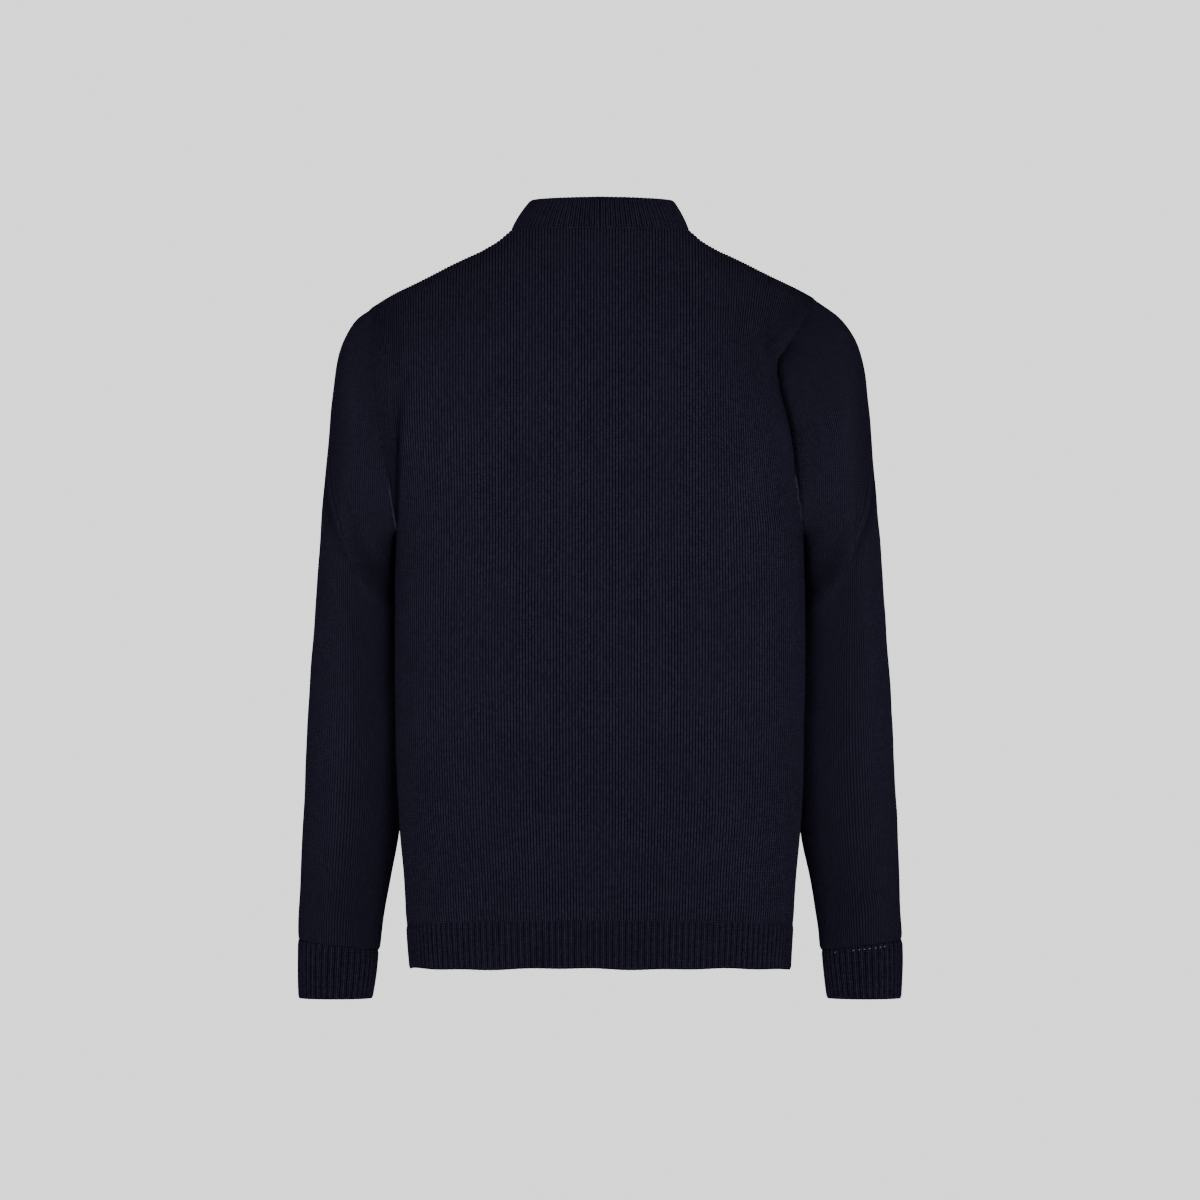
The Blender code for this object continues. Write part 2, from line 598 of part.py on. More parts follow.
def panel_rows(angle_steps):
    gap_level = SEAM_GAP / (UNDERARM_Z - HEM_SEAM_Z)
    below = np.linspace(gap_level, 1.0, ROWS_BELOW + 1)
    return np.concatenate([below, np.linspace(1.0, 2.0, angle_steps + 1)[1:]])


def part_at_seams(points, half, shoulder):
    """Draw a panel back from its side seams and its shoulder seam by half a gap each."""
    sign = 1 if half == "back" else -1
    points[..., 1] = np.where(np.abs(points[..., 1] - SIDE_SEAM_Y) < 1e-9,
                              SIDE_SEAM_Y + sign * SEAM_GAP / 2, points[..., 1])
    if shoulder:
        points[-1, :, 1] += np.where(np.abs(points[-1, :, 0]) > NECK_HALF_WIDTH - 1e-6,
                                     sign * SEAM_GAP, 0)
    return points


def make_back(collection):
    half = half_columns(0.0)
    across = np.concatenate([-half[:0:-1], half])
    points = torso("back", across[None, :], panel_rows(BACK_ANGLE_STEPS)[:, None])
    cloth("back", part_at_seams(points, "back", True), WALL, "knit", collection)


def make_fronts(collection):
    across = half_columns(FRONT_EDGE_X)
    rows = panel_rows(FRONT_ANGLE_STEPS)
    for name, sign in (("front_left", 1), ("front_right", -1)):
        points = torso("front", sign * across[None, :], rows[:, None])
        cloth(name, part_at_seams(points, "front", True), WALL, "knit", collection)


def ring_angles():
    """Angles of the armhole's points: from the shoulder seam round the back, then front."""
    back = np.linspace(SEAM_BEHIND, math.pi, BACK_ANGLE_STEPS + 1)
    front = np.linspace(math.pi, 2 * math.pi + SEAM_BEHIND, FRONT_ANGLE_STEPS + 1)
    angles = np.concatenate([back, front[1:]])
    return np.where(angles > math.pi, angles - 2 * math.pi, angles)


def make_sleeves(collection):
    rows = np.arange(len(SLEEVE))
    for name, side in (("sleeve_left", 1), ("sleeve_right", -1)):
        points = sleeve(rows[:, None], ring_angles()[None, :], side)
        points[:, -1] = points[:, 0]
        cloth(name, points * np.array([side, 1, 1]), WALL, "knit", collection, closed=True)


def rib_shares(columns):
    """Share of the full wall at each column: every second one is a furrow."""
    furrow = RIB_WALL / (RIB_WALL + RIB_RAISE)
    return [1.0 if column % 2 else furrow for column in range(columns)]


def make_cuffs(collection):
    width = (CUFF[1].outer_x - CUFF[1].inner_x) / 2
    around = 2 * math.pi * math.sqrt((width**2 + CUFF[1].half_depth**2) / 2)
    columns = 2 * round(around / RIB_PITCH["cuff"]) + 1
    angles = np.linspace(0, 2 * math.pi, columns)
    points = ring(CUFF, np.arange(len(CUFF))[:, None], angles[None, :], RIB_WALL + RIB_RAISE)
    points[:, -1] = points[:, 0]
    wall = RIB_WALL + RIB_RAISE
    shares = rib_shares(columns)
    cloth("cuff_left", points, wall, "rib", collection, closed=True, ribs=shares)
    cloth("cuff_right", mirrored(points), wall, "rib", collection, closed=True, ribs=shares)


def make_hem(collection):
    width = smooth(SECTIONS, "half_width", HEM_SEAM_Z)
    quarter = QUARTER_PER_WIDTH * width
    columns = 2 * round(quarter / RIB_PITCH["hem"])
    bottom = (HEM_BOTTOM_Z - HEM_SEAM_Z) / (UNDERARM_Z - HEM_SEAM_Z)
    rows = np.array([bottom, 0.0])
    wall = RIB_WALL + RIB_RAISE
    start = across_at(FRONT_EDGE_X)
    bands = (
        ("hem_back", "back", np.linspace(-1, 1, 2 * columns + 1)),
        ("hem_front_left", "front", np.linspace(start, 1, columns + 1)),
        ("hem_front_right", "front", np.linspace(-1, -start, columns + 1)),
    )
    for name, half, across in bands:
        points = part_at_seams(torso(half, across[None, :], rows[:, None]), half, False)
        cloth(name, points, wall, "rib", collection, ribs=rib_shares(len(across)))


def make_collar(collection):
    _, loop = collar_loop(200)
    length = np.linalg.norm(np.diff(loop, axis=0), axis=1).sum()
    columns = 4 * round(length / RIB_PITCH["collar"] / 2)
    points = collar_points(columns, (0.0, 1.0))
    shares = rib_shares(points.shape[1])
    cloth("collar", points, RIB_WALL + RIB_RAISE, "rib", collection, ribs=shares)


# ---------------------------------------------------------------- zip
def make_tapes(collection):
    strip = zip_strip(TAPE["inner"], TAPE["outer"], ZIP_BOTTOM_Z + TAPE_FROM_BOTTOM, ZIP_TOP_Z,
                      ZIP_ROWS, TAPE["depth"])
    cloth("zip_tape_left", strip, TAPE["wall"], "tape", collection)
    cloth("zip_tape_right", mirrored(strip), TAPE["wall"], "tape", collection)


def make_teeth(collection):
    low, high = ZIP_BOTTOM_Z + TEETH_FROM_BOTTOM, SLIDER_Z - TEETH_FROM_SLIDER
    strip = zip_strip(TEETH["inner"], TEETH["outer"], low, high, ZIP_ROWS, TEETH["depth"])
    cloth("zip_teeth_left", strip, TEETH["wall"], "teeth", collection)
    cloth("zip_teeth_right", mirrored(strip), TEETH["wall"], "teeth", collection)


def stand_on_zip(piece, z):
    """Place a piece, modelled with X across, Y out and Z up, on the zip's middle line."""
    place, along, out = zip_frame(z)
    turn = Matrix((Vector((-1, 0, 0)), out, along)).transposed().to_4x4()
    piece.matrix_world = Matrix.Translation(place) @ turn


def slider_face():
    """Height of the slider's front face above the fronts' inner face."""
    return TEETH["depth"] + TEETH["wall"] + SEAM_GAP + SLIDER["plate"]


def make_slider(collection, helpers):
    """Two plates held apart by a wedge, with a bail for the tab on the front one."""
    plate, length, width = SLIDER["plate"], SLIDER["length"], SLIDER["width"]
    front = slider_face()
    back = TAPE["depth"] - SEAM_GAP
    slider = box("zip_slider", (width, plate, length), (0, front - plate / 2, 0))
    round_edges(slider, SLIDER["rounding"])
    share = SLIDER["back_share"]
    back_plate = box("slider_back", (width * share, plate, length * share),
                     (0, back - plate / 2, 0))
    wedge = box("slider_wedge", (WEDGE["width"], front - back, WEDGE["high"] - WEDGE["low"]),
                (0, (front + back - plate) / 2, (WEDGE["low"] + WEDGE["high"]) / 2))
    height, bar, sunk = BAIL["height"], BAIL["bar"], BAIL["sunk"]
    bail = box("slider_bail", (BAIL["width"], height + sunk, BAIL["length"]),
               (0, front + (height - sunk) / 2, 0))
    opening = (2 * BAIL["width"], height - bar + 2 * sunk, BAIL["length"] - 2 * bar)
    window = box("slider_window", opening, (0, front + opening[1] / 2 - 2 * sunk, 0))
    combine(bail, window, "DIFFERENCE", helpers)
    for other in (wedge, back_plate, bail):
        combine(slider, other, "UNION", helpers)
    stand_on_zip(slider, SLIDER_Z)
    for other in (wedge, back_plate, bail, window):
        other.matrix_world = slider.matrix_world.copy()
    return finish_object(slider, "metal", collection)


def make_pull_tab(collection, slider):
    """Flat tab with a window; its top bar passes under the slider's bail."""
    width, length, window = TAB["width"] / 2, TAB["length"], TAB["window"] / 2
    bar = TAB["thick"] / 2
    tip, shoulder = width * TAB["tip_share"], -length * TAB["shoulder_share"]
    outline = [(-width, bar), (width, bar), (width, shoulder), (tip, -length),
               (-tip, -length), (-width, shoulder)]
    below = -bar - TAB["hole"]
    hole = [(-window, -bar), (window, -bar), (window, below), (-window, below)]
    curve = bpy.data.curves.new("zip_pull_tab", "CURVE")
    curve.dimensions = "2D"
    curve.fill_mode = "BOTH"
    curve.extrude = TAB["thick"] / 2
    for corners in (outline, hole):
        spline = curve.splines.new("POLY")
        spline.points.add(len(corners) - 1)
        for point, corner in zip(spline.points, corners):
            point.co = (*corner, 0, 1)
        spline.use_cyclic_u = True
    flat = bpy.data.objects.new("tab_outline", curve)
    bpy.context.scene.collection.objects.link(flat)
    depsgraph = bpy.context.evaluated_depsgraph_get()
    mesh = bpy.data.meshes.new_from_object(flat.evaluated_get(depsgraph))
    bpy.data.objects.remove(flat)
    upright = Matrix.Rotation(math.radians(90), 4, "X")
    mesh.transform(upright)
    welded = bmesh.new()
    welded.from_mesh(mesh)
    bmesh.ops.remove_doubles(welded, verts=welded.verts, dist=1e-6)
    bmesh.ops.recalc_face_normals(welded, faces=welded.faces)
    welded.to_mesh(mesh)
    welded.free()
    tab = bpy.data.objects.new("zip_pull_tab", mesh)
    bpy.context.scene.collection.objects.link(tab)
    above = slider_face() + TAB_AXIS_ABOVE_PLATE
    local = Matrix.Translation((0, above, TAB_AXIS_UP))
    tilt = Matrix.Rotation(TAB_TILT, 4, "X")
    tab.matrix_world = slider.matrix_world @ local @ tilt
    return finish_object(tab, "metal", collection)


def make_stops(collection):
    bottom = box("zip_bottom_box", BOTTOM_BOX["size"], (0, TEETH["depth"] + BOTTOM_BOX["out"], 0))
    stand_on_zip(bottom, ZIP_BOTTOM_Z + BOTTOM_BOX["up"])
    finish_object(bottom, "metal", collection)
    for name, side in (("zip_top_stop_left", -1), ("zip_top_stop_right", 1)):
        place = (side * TOP_STOP["side"], TEETH["depth"] + TOP_STOP["out"], 0)
        stop = box(name, TOP_STOP["size"], place)
        stand_on_zip(stop, ZIP_TOP_Z - TOP_STOP["down"])
        finish_object(stop, "metal", collection)


def main():
    clear_scene()
    garment = make_collection("zip_up_cardigan")
    helpers = make_collection("cutters")
    make_back(garment)
    make_fronts(garment)
    make_sleeves(garment)
    make_cuffs(garment)
    make_hem(garment)
    make_collar(garment)
    make_tapes(garment)
    make_teeth(garment)
    slider = make_slider(garment, helpers)
    make_pull_tab(garment, slider)
    make_stops(garment)


main()
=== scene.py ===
import math
from collections import namedtuple

import bmesh
import bpy
import numpy as np
from mathutils import Matrix, Vector


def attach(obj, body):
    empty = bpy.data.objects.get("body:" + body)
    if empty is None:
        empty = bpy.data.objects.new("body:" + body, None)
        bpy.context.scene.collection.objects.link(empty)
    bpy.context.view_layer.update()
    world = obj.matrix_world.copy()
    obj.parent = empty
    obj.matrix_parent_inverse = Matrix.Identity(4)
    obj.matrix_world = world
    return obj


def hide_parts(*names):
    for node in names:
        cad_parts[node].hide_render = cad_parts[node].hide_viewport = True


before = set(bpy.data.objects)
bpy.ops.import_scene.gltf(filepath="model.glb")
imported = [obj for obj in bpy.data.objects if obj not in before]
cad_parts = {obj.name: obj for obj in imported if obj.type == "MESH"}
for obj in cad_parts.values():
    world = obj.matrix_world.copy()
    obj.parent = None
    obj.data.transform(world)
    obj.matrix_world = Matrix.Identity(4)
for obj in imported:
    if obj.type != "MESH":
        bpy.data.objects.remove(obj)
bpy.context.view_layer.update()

# ---- sizes of the knit
SHELL = 0.0014               # thickness of the knitted shells
TAPE_SHELL = 0.0008
BODY_WALE = 0.0031           # width of one column of stitches, on the body
SLEEVE_WALE = 0.0027
COURSE = 0.0021              # height of one row of stitches
WALE_RAISE = 0.00090         # a column of stitches above the gutter beside it
SEAM_TUCK = {"hem": 0.0003, "side": 0.0006, "armhole": 0.0004, "cuff": 0.0003}
SEAM_WIDTH = 0.0022
ROW_STEP = 0.0105            # between rows of points, along a wale
WAVER = {"body": 0.0004, "sleeve": 0.0006, "rib": 0.0004}

BACK_HALF_RUN = 0.265        # lengths that hold a whole number of wales
FRONT_RUN = 0.262
SLEEVE_HALF_RUN = 0.205
HEM_HALF_RUN = 0.232
BACK_ARCH_ROWS, FRONT_ARCH_ROWS = 27, 33     # rows of points above the underarm
SLEEVE_ROWS = 60
END_ROWS = (0.008, 0.04, 0.08, 0.15, 15.9, 15.96, 15.992)    # more of them beside its seams
HALF_SECTION = 1.35          # length round a quarter of the torso, against its half width
SEAM_REACH = 0.26            # and from the right armhole to the middle of the back

WALL = 0.0020                # of the solids
SEAM_GAP = 0.0003
SLEEVE_OVERLAP = 0.0006      # how far a sleeve's seam lies over the armhole's edge
SHOULDER_Z = -0.1340         # height of the armholes' middle
INSIDE = (0, 0, SHOULDER_Z)  # a place that every body panel faces away from
UNDERARM_Z = -0.2400
HEM_SEAM_Z = -0.6120
HEM_BOTTOM_Z = -0.6535
HEM_ARCH = 0.0090            # rise of the hem seam at the middle of the back
HEM_ARCH_FALL = 4.5          # how fast the rise dies out below the seam, by level
SIDE_SEAM_Y = 0.0120
FRONT_EDGE_X = 0.0045        # front edge to the middle of the zip
SIDES = (("left", 1), ("right", -1))
NECK_HALF_WIDTH = 0.0840
NECK_FRONT_Z = -0.0150

ARMHOLE_TOP_X = 0.2180
ARMHOLE_MIDDLE_X = 0.2095
ARMHOLE_DEPTH = {"back": 0.0610, "front": 0.0600}
SEAM_BEHIND = math.radians(24)       # shoulder seam behind the ridge, at the armhole

COLLAR_TOP_SHARE = {"left": 0.76, "right": 0.81}    # width of its top edge against its seam
COLLAR_TOP_BACK = 0.80       # its depth behind, against the seam's
COLLAR_TOP_FRONT = 0.93      # and in front
COLLAR_RISE = {"back": 0.0298, "side": 0.0282, "front": 0.0300}

CUFF_BOTTOM_Z = -0.6855


def rows_of(kind, *rows):
    return [kind(*row) for row in rows]


# ---- tables
Section = namedtuple("Section", "z half_width back front")       # outer face of the torso
SECTIONS = rows_of(Section,
    (-0.6540, 0.1803, 0.1175, 0.1185),
    (-0.6120, 0.1830, 0.1230, 0.1220),
    (-0.5700, 0.1852, 0.1255, 0.1240),
    (-0.5130, 0.1900, 0.1245, 0.1250),
    (-0.4200, 0.1932, 0.1160, 0.1245),
    (-0.3040, 0.1938, 0.1135, 0.1265),
    (-0.2400, 0.1925, 0.1155, 0.1280),
    (-0.1340, 0.1925, 0.1170, 0.1275),
    (-0.1200, 0.1925, 0.1170, 0.1275),
)

Ridge = namedtuple("Ridge", "x z")                               # top outline of the shoulder
RIDGE = rows_of(Ridge,
    (0.0000, 0.0770), (0.0600, 0.0625), (0.0840, 0.0468),
    (0.0950, 0.0372), (0.1110, 0.0277), (0.1300, 0.0190),
    (0.1680, 0.0000), (0.2050, -0.0190), (0.2200, -0.0285),
)

Seam = namedtuple("Seam", "x behind")                            # degrees behind the ridge
SHOULDER_SEAM = rows_of(Seam,
    (0.0840, 0.0), (0.1100, 10.0), (0.1550, 23.0), (0.2180, 24.0),
)

# Each sleeve is a row of oval rings, from the armhole to the cuff, by their outer faces:
# the point on the outer side of the arm, the one against the body, and the depth. lean
# skews the side against the body, inward in front and outward behind.
Ring = namedtuple("Ring", "row outer_x outer_z inner_x inner_z centre_y half_depth lean")
SLEEVE = rows_of(Ring,
    (0, 0.2195, -0.0285, 0.1945, -0.2400, 0.006, 0.0630, 0.00),
    (1, 0.2330, -0.0395, 0.1945, -0.2420, 0.005, 0.0640, 0.06),
    (2, 0.2440, -0.0590, 0.1945, -0.2470, 0.002, 0.0650, 0.16),
    (3, 0.2513, -0.0840, 0.1950, -0.2560, -0.002, 0.0655, 0.24),
    (4, 0.2551, -0.1140, 0.1957, -0.2690, -0.007, 0.0660, 0.28),
    (5, 0.2580, -0.1450, 0.1949, -0.2850, -0.012, 0.0665, 0.30),
    (6, 0.2613, -0.1850, 0.1941, -0.3050, -0.018, 0.0665, 0.30),
    (7, 0.2647, -0.2280, 0.1926, -0.3290, -0.024, 0.0655, 0.28),
    (8, 0.2685, -0.2750, 0.1906, -0.3580, -0.029, 0.0645, 0.26),
    (9, 0.2720, -0.3200, 0.1884, -0.3890, -0.032, 0.0635, 0.23),
    (10, 0.2753, -0.3700, 0.1868, -0.4240, -0.035, 0.0620, 0.21),
    (11, 0.2785, -0.4180, 0.1871, -0.4600, -0.038, 0.0600, 0.18),
    (12, 0.2813, -0.4700, 0.1896, -0.4970, -0.042, 0.0575, 0.15),
    (13, 0.2837, -0.5200, 0.1945, -0.5340, -0.047, 0.0540, 0.12),
    (14, 0.2857, -0.5650, 0.2015, -0.5700, -0.052, 0.0490, 0.08),
    (15, 0.2878, -0.6050, 0.2080, -0.6090, -0.056, 0.0425, 0.04),
    (16, 0.2887, -0.6290, 0.2112, -0.6385, -0.058, 0.0350, 0.00),
)
CUFF = rows_of(Ring,
    (0, 0.2890, -0.6293, 0.2125, -0.6388, -0.058, 0.0330, 0.00),
    (1, 0.2885, CUFF_BOTTOM_Z, 0.2180, CUFF_BOTTOM_Z, -0.060, 0.0300, 0.00),
)

# The fold where each sleeve pulls the back panel in: its lip, and the trough beside it.
Lip = namedtuple("Lip", "z left_x left_depth right_x right_depth")
LIPS = rows_of(Lip,
    (-0.2600, 0.1905, 0.000, 0.1905, 0.000),
    (-0.2100, 0.1885, 0.009, 0.1870, 0.001),
    (-0.1600, 0.1865, 0.015, 0.1780, 0.001),
    (-0.1200, 0.1830, 0.009, 0.1690, 0.001),
    (-0.0800, 0.1770, 0.001, 0.1590, 0.005),
    (-0.0500, 0.1750, 0.000, 0.1560, 0.008),
    (-0.0300, 0.1750, 0.000, 0.1550, 0.004),
    (-0.0150, 0.1750, 0.000, 0.1550, 0.000),
)

# How far the right armhole is drawn in toward the middle, by degrees round it from the top:
# it hides under the fold of the back panel. The left one isn't drawn in.
Tuck = namedtuple("Tuck", "degrees right")
TUCKS = rows_of(Tuck,
    (-180.0, 0.0), (-75.0, 0.0), (-40.0, 0.0030), (-15.0, 0.0095),
    (0.0, 0.0145), (24.0, 0.0170), (40.0, 0.0243), (57.0, 0.0375),
    (66.0, 0.0465), (75.0, 0.0440), (90.0, 0.0330), (105.0, 0.0235),
    (120.0, 0.0160), (140.0, 0.0075), (160.0, 0.0015), (180.0, 0.0),
)

# Soft creases, straight from start to end; a height below zero is a trough.
Crease = namedtuple("Crease", "x_start z_start x_end z_end width height")
CREASES = {
    "back": rows_of(Crease,
        (0.115, -0.225, 0.160, -0.375, 0.018, -0.0040),
        (0.150, -0.410, 0.160, -0.490, 0.024, -0.0040),
        (0.088, -0.320, 0.086, -0.425, 0.014, 0.0025),
        (0.048, -0.490, 0.150, -0.610, 0.018, 0.0035),
        (-0.082, -0.475, -0.155, -0.610, 0.018, 0.0035),
        (0.000, 0.000, 0.000, -0.060, 0.050, -0.0030),
        (0.1868, -0.116, 0.1935, -0.245, 0.0026, -0.0090),
        (0.1780, -0.120, 0.1850, -0.225, 0.0050, 0.0022),
        (-0.1575, -0.036, -0.1655, -0.092, 0.0040, -0.0040),
        (-0.1520, -0.030, -0.1590, -0.088, 0.0060, 0.0022),
    ),
    "front": rows_of(Crease,
        (0.185, -0.215, 0.120, -0.330, 0.018, -0.0040),
        (-0.185, -0.225, -0.115, -0.320, 0.018, -0.0045),
        (0.060, -0.470, 0.150, -0.590, 0.020, 0.0035),
        (-0.070, -0.480, -0.150, -0.600, 0.020, 0.0035),
        (0.165, -0.060, 0.115, -0.150, 0.018, -0.0030),
        (-0.168, -0.070, -0.120, -0.145, 0.018, -0.0030),
    ),
}

SECTION_POWER = {"back": 2.35, "front": 2.05}    # squareness of the torso's sections
SHOULDER_POWER = {"back": 2.20, "front": 1.50}   # fullness of the arch over the shoulder
OPEN_POWERS = (2.6, 1.35)                        # a row that ends at the armhole
LIP_POWERS = (4.0, 2.0)                          # and one that ends under a fold's lip
FULL_TUCK = 0.0200                               # a fold this deep has its whole lip

# ---- zip
TAPE = {"inner": 0.0022, "width": 0.0105, "wall": 0.0010, "depth": -0.0031, "rows": 120}
TEETH = {"wall": 0.0020, "depth": -0.0009, "above_box": 0.0090, "below_slider": 0.0030}
TOOTH = {"width": 0.0036, "depth": 0.0018, "height": 0.0011, "pitch": 0.0021, "overlap": 0.0010}
TOOTH_BEVEL = 0.00025
TAPE_THREAD = 0.0008
ZIP_BOTTOM_Z = -0.6548
ZIP_TOP_Z = 0.0140
SLIDER_Z = 0.0060
METAL_NODES = ("zip_slider", "zip_pull_tab", "zip_bottom_box", "zip_top_stop_left",
               "zip_top_stop_right")

# ---- cuts, flat, in metres
HEM_CUT, HEM_FRONT_CUT = (0.483, 0.042), (0.251, 0.042)

# ---- folds of the sleeves
SLEEVE_RING_STEP = 0.043     # between the rings of SLEEVE, along the arm
SLEEVE_DEGREE = 0.0010       # one degree round the arm
CAP_ROWS = (4.5, 7.0)        # between these the cap's wales give way to the arm's
EVEN_ROW = 8.0               # ring round which the wales are evenly spaced
SleeveCrease = namedtuple("SleeveCrease", "row_start angle_start row_end angle_end width height")
SLEEVE_CREASES = {
    "left": rows_of(SleeveCrease,
        (14.6, 60, 15.6, 120, 0.010, 0.0022),
        (13.2, 130, 14.8, 60, 0.012, -0.0020),
        (8.0, 170, 10.5, 100, 0.016, -0.0030),
        (9.5, -150, 12.0, -80, 0.016, -0.0030),
        (4.0, 150, 6.5, 110, 0.014, -0.0022),
    ),
    "right": rows_of(SleeveCrease,
        (14.3, 40, 15.5, 120, 0.009, 0.0028),
        (13.6, 50, 15.0, 140, 0.010, -0.0026),
        (8.5, 175, 11.0, 110, 0.016, -0.0030),
        (9.0, -160, 11.5, -90, 0.016, -0.0030),
        (3.5, 150, 6.0, 115, 0.014, -0.0022),
    ),
}

# The narrow dip along the right armhole, by degrees round it and share of its depth.
FOLD_DIPS = ((50, 0.0), (62, 0.8), (75, 1.0), (110, 1.0), (135, 0.6), (160, 0.0))
FOLD_DIP, FOLD_WIDTH = 0.0110, 0.0050

# ---- ribbed bands
RIB_SHELL = 0.0018
HEM_RIB_PITCH = 0.0059
CUFF_RIBS, COLLAR_RIBS = 37, 108
WALES_IN_RIB = {"hem": 3, "cuff": 3, "collar": 2}
RIB_STEPS = {"hem": 8, "cuff": 8, "collar": 6}       # columns of points on a rib
RIB_LIFT = {"hem": 0.0012, "cuff": 0.0011, "collar": 0.0010}
RIB_SHARE = 0.7              # of the pitch, the rest is furrow
FREE_EDGE_ROLL = 0.0008
CUFF_BULGE = 0.0006
COLLAR_BULGE, COLLAR_LIFT = 0.0012, 0.0009
COLLAR_OVERLAP = 0.0022      # how far the collar's seam reaches down over the neckline
EYELET_X = (-0.2244, -0.2418, -0.2472, -0.2522, -0.2574, -0.2630, -0.2675, -0.2717)
EYELET_ROW, EYELET_RADIUS = 0.06, 0.0006

# ---- yarns
# dark colour, light colour and the wales in one of its ribs; the knit paints the gutters and rib
# furrows towards the dark colour as painted shade, and the stitches' legs towards the light one as
# painted highlight
YARNS = {
    "navy_knit": ((0.0030, 0.0027, 0.0066), (0.0298, 0.0268, 0.0500), 0),
    # a narrower range on the sleeves, for weaker painted shade and highlight between their wales
    "navy_sleeve_knit": ((0.0055, 0.0049, 0.0100), (0.0246, 0.0222, 0.0418), 0),
    "navy_rib": ((0.0026, 0.0023, 0.0056), (0.0352, 0.0322, 0.0585), 3),
    "navy_collar_rib": ((0.0026, 0.0023, 0.0056), (0.0320, 0.0290, 0.0545), 2),
}
SHEEN, SHEEN_ROUGHNESS, SHEEN_TINT = 0.015, 0.45, (0.62, 0.56, 0.90, 1.0)

# ---- studio
LENS, CAMERA_Y, CAMERA_Z = 221.0, 7.0, -0.304
BACKGROUND, OVERHEAD = 1.63, 0.10        # brightness of the studio, level and straight up
LEVEL_TO, OVERHEAD_FROM = 0.12, 0.42     # rise of the direction where one turns into the other
FLOOR_Z, FLOOR_RADIUS = -1.2, 4.0
# name, place, aim, size and power
LIGHTS = (
    ("back_left", (1.7, 6.0, -1.3), (0, 0, -0.35), (1.8, 0.7), 180.0),
    ("back_right", (-1.7, 6.0, -1.3), (0, 0, -0.35), (1.8, 0.7), 250.0),
    ("front_left", (1.2, -6.0, -1.0), (0, 0, -0.35), (1.8, 0.7), 200.0),
    ("front_right", (-1.2, -6.0, -1.0), (0, 0, -0.35), (1.8, 0.7), 170.0),
    ("top_front", (0.0, -2.2, 4.6), (0, 0, 0), (2.0, 1.0), 150.0),
)


# ---- curves
def smooth(table, column, at):
    """Smooth value of a table's column; the table rises by its first column."""
    fields = table[0]._fields
    rows = np.array(table)
    keys, values = rows[:, 0], rows[:, fields.index(column)]
    slopes = np.gradient(values, keys)
    at = np.clip(at, keys[0], keys[-1])
    low = np.clip(np.searchsorted(keys, at, side="right") - 1, 0, len(keys) - 2)
    step = keys[low + 1] - keys[low]
    t = (at - keys[low]) / step
    start = values[low] * (2 * t**3 - 3 * t**2 + 1) + slopes[low] * step * (t**3 - 2 * t**2 + t)
    end = values[low + 1] * (3 * t**2 - 2 * t**3) + slopes[low + 1] * step * (t**3 - t**2)
    return start + end


def eased(share):
    share = np.clip(share, 0, 1)
    return share * share * (3 - 2 * share)


def even_steps(x, y):
    """Share of the length run at each point of a curve."""
    run = np.concatenate([[0.0], np.cumsum(np.hypot(np.diff(x), np.diff(y)))])
    return run / run[-1]


def mirrored(points):
    return points * np.array([-1, 1, 1])


def run_down(points):
    """Length run down each column of a grid, from its first row."""
    steps = np.linalg.norm(np.diff(points, axis=0), axis=-1)
    return np.concatenate([np.zeros((1, points.shape[1])), np.cumsum(steps, axis=0)])


def width_shares():
    """Tables from a share of the way round half a section to its share of the width."""
    power = SECTION_POWER["back"]
    turn = np.linspace(0.0, math.pi / 2, 600)
    x = np.sin(turn) ** (2 / power)
    y = np.cos(turn) ** (2 / power) * 0.55
    return even_steps(x, y), x


ACROSS_SHARE, WIDTH_SHARE = width_shares()


def across_at(x, wall=0.0):
    """Place across the torso, 0 to 1, of a column that stands at this x."""
    underarm_width = smooth(SECTIONS, "half_width", UNDERARM_Z) - wall
    return np.interp(x / underarm_width, WIDTH_SHARE, ACROSS_SHARE)


# ---- torso
def crease_height(u, v, start, end, width, height):
    """Height of one crease, straight from start to end, at places u and v on the cloth."""
    along_u, along_v = end[0] - start[0], end[1] - start[1]
    share = ((u - start[0]) * along_u + (v - start[1]) * along_v) / (along_u**2 + along_v**2)
    share = np.clip(share, 0.0, 1.0)
    away = np.hypot(u - start[0] - share * along_u, v - start[1] - share * along_v)
    return height * np.exp(-((away / width) ** 2)) * np.sin(math.pi * share) ** 0.7


def crease_relief(rows, x, z):
    """Height of the soft creases at a place seen from the front or back."""
    return sum(crease_height(x, z, row[:2], row[2:4], *row[4:]) for row in rows)


def fold_relief(x, z, edge_x):
    """Depth of the trough between the fold's lip and the armhole, on the back."""
    depth = np.zeros_like(x)
    for side, sign in SIDES:
        lip_x = smooth(LIPS, side + "_x", z)
        share = np.clip((sign * x - lip_x) / np.maximum(edge_x - lip_x, 0.004), 0.0, 1.0)
        inside = (z > LIPS[0].z) & (z < LIPS[-1].z)
        trough = smooth(LIPS, side + "_depth", z) * np.sin(math.pi * share**0.42)
        depth += np.where(inside, trough, 0.0)
    return -depth


def arch_end(half, x, wall):
    """Angle up the arch, from the shoulder blades, at which a column of the panel ends."""
    power = SHOULDER_POWER[half]
    neck_side_z = smooth(RIDGE, "z", NECK_HALF_WIDTH) - wall
    if half == "back":
        neck_z = neck_side_z
    else:
        round_share = np.sqrt(1 - np.clip(x / NECK_HALF_WIDTH, 0, 1) ** 2)
        neck_z = NECK_FRONT_Z + (neck_side_z - NECK_FRONT_Z) * (1 - round_share)
    height = smooth(RIDGE, "z", x) - wall - SHOULDER_Z
    ratio = np.clip((neck_z - SHOULDER_Z) / height, 0, 1)
    at_neck = np.arcsin(ratio ** (power / 2))
    behind = np.radians(smooth(SHOULDER_SEAM, "behind", x))
    at_seam = math.pi / 2 - behind if half == "back" else math.pi / 2 + behind
    return np.where(x < NECK_HALF_WIDTH - 1e-6, at_neck, at_seam)


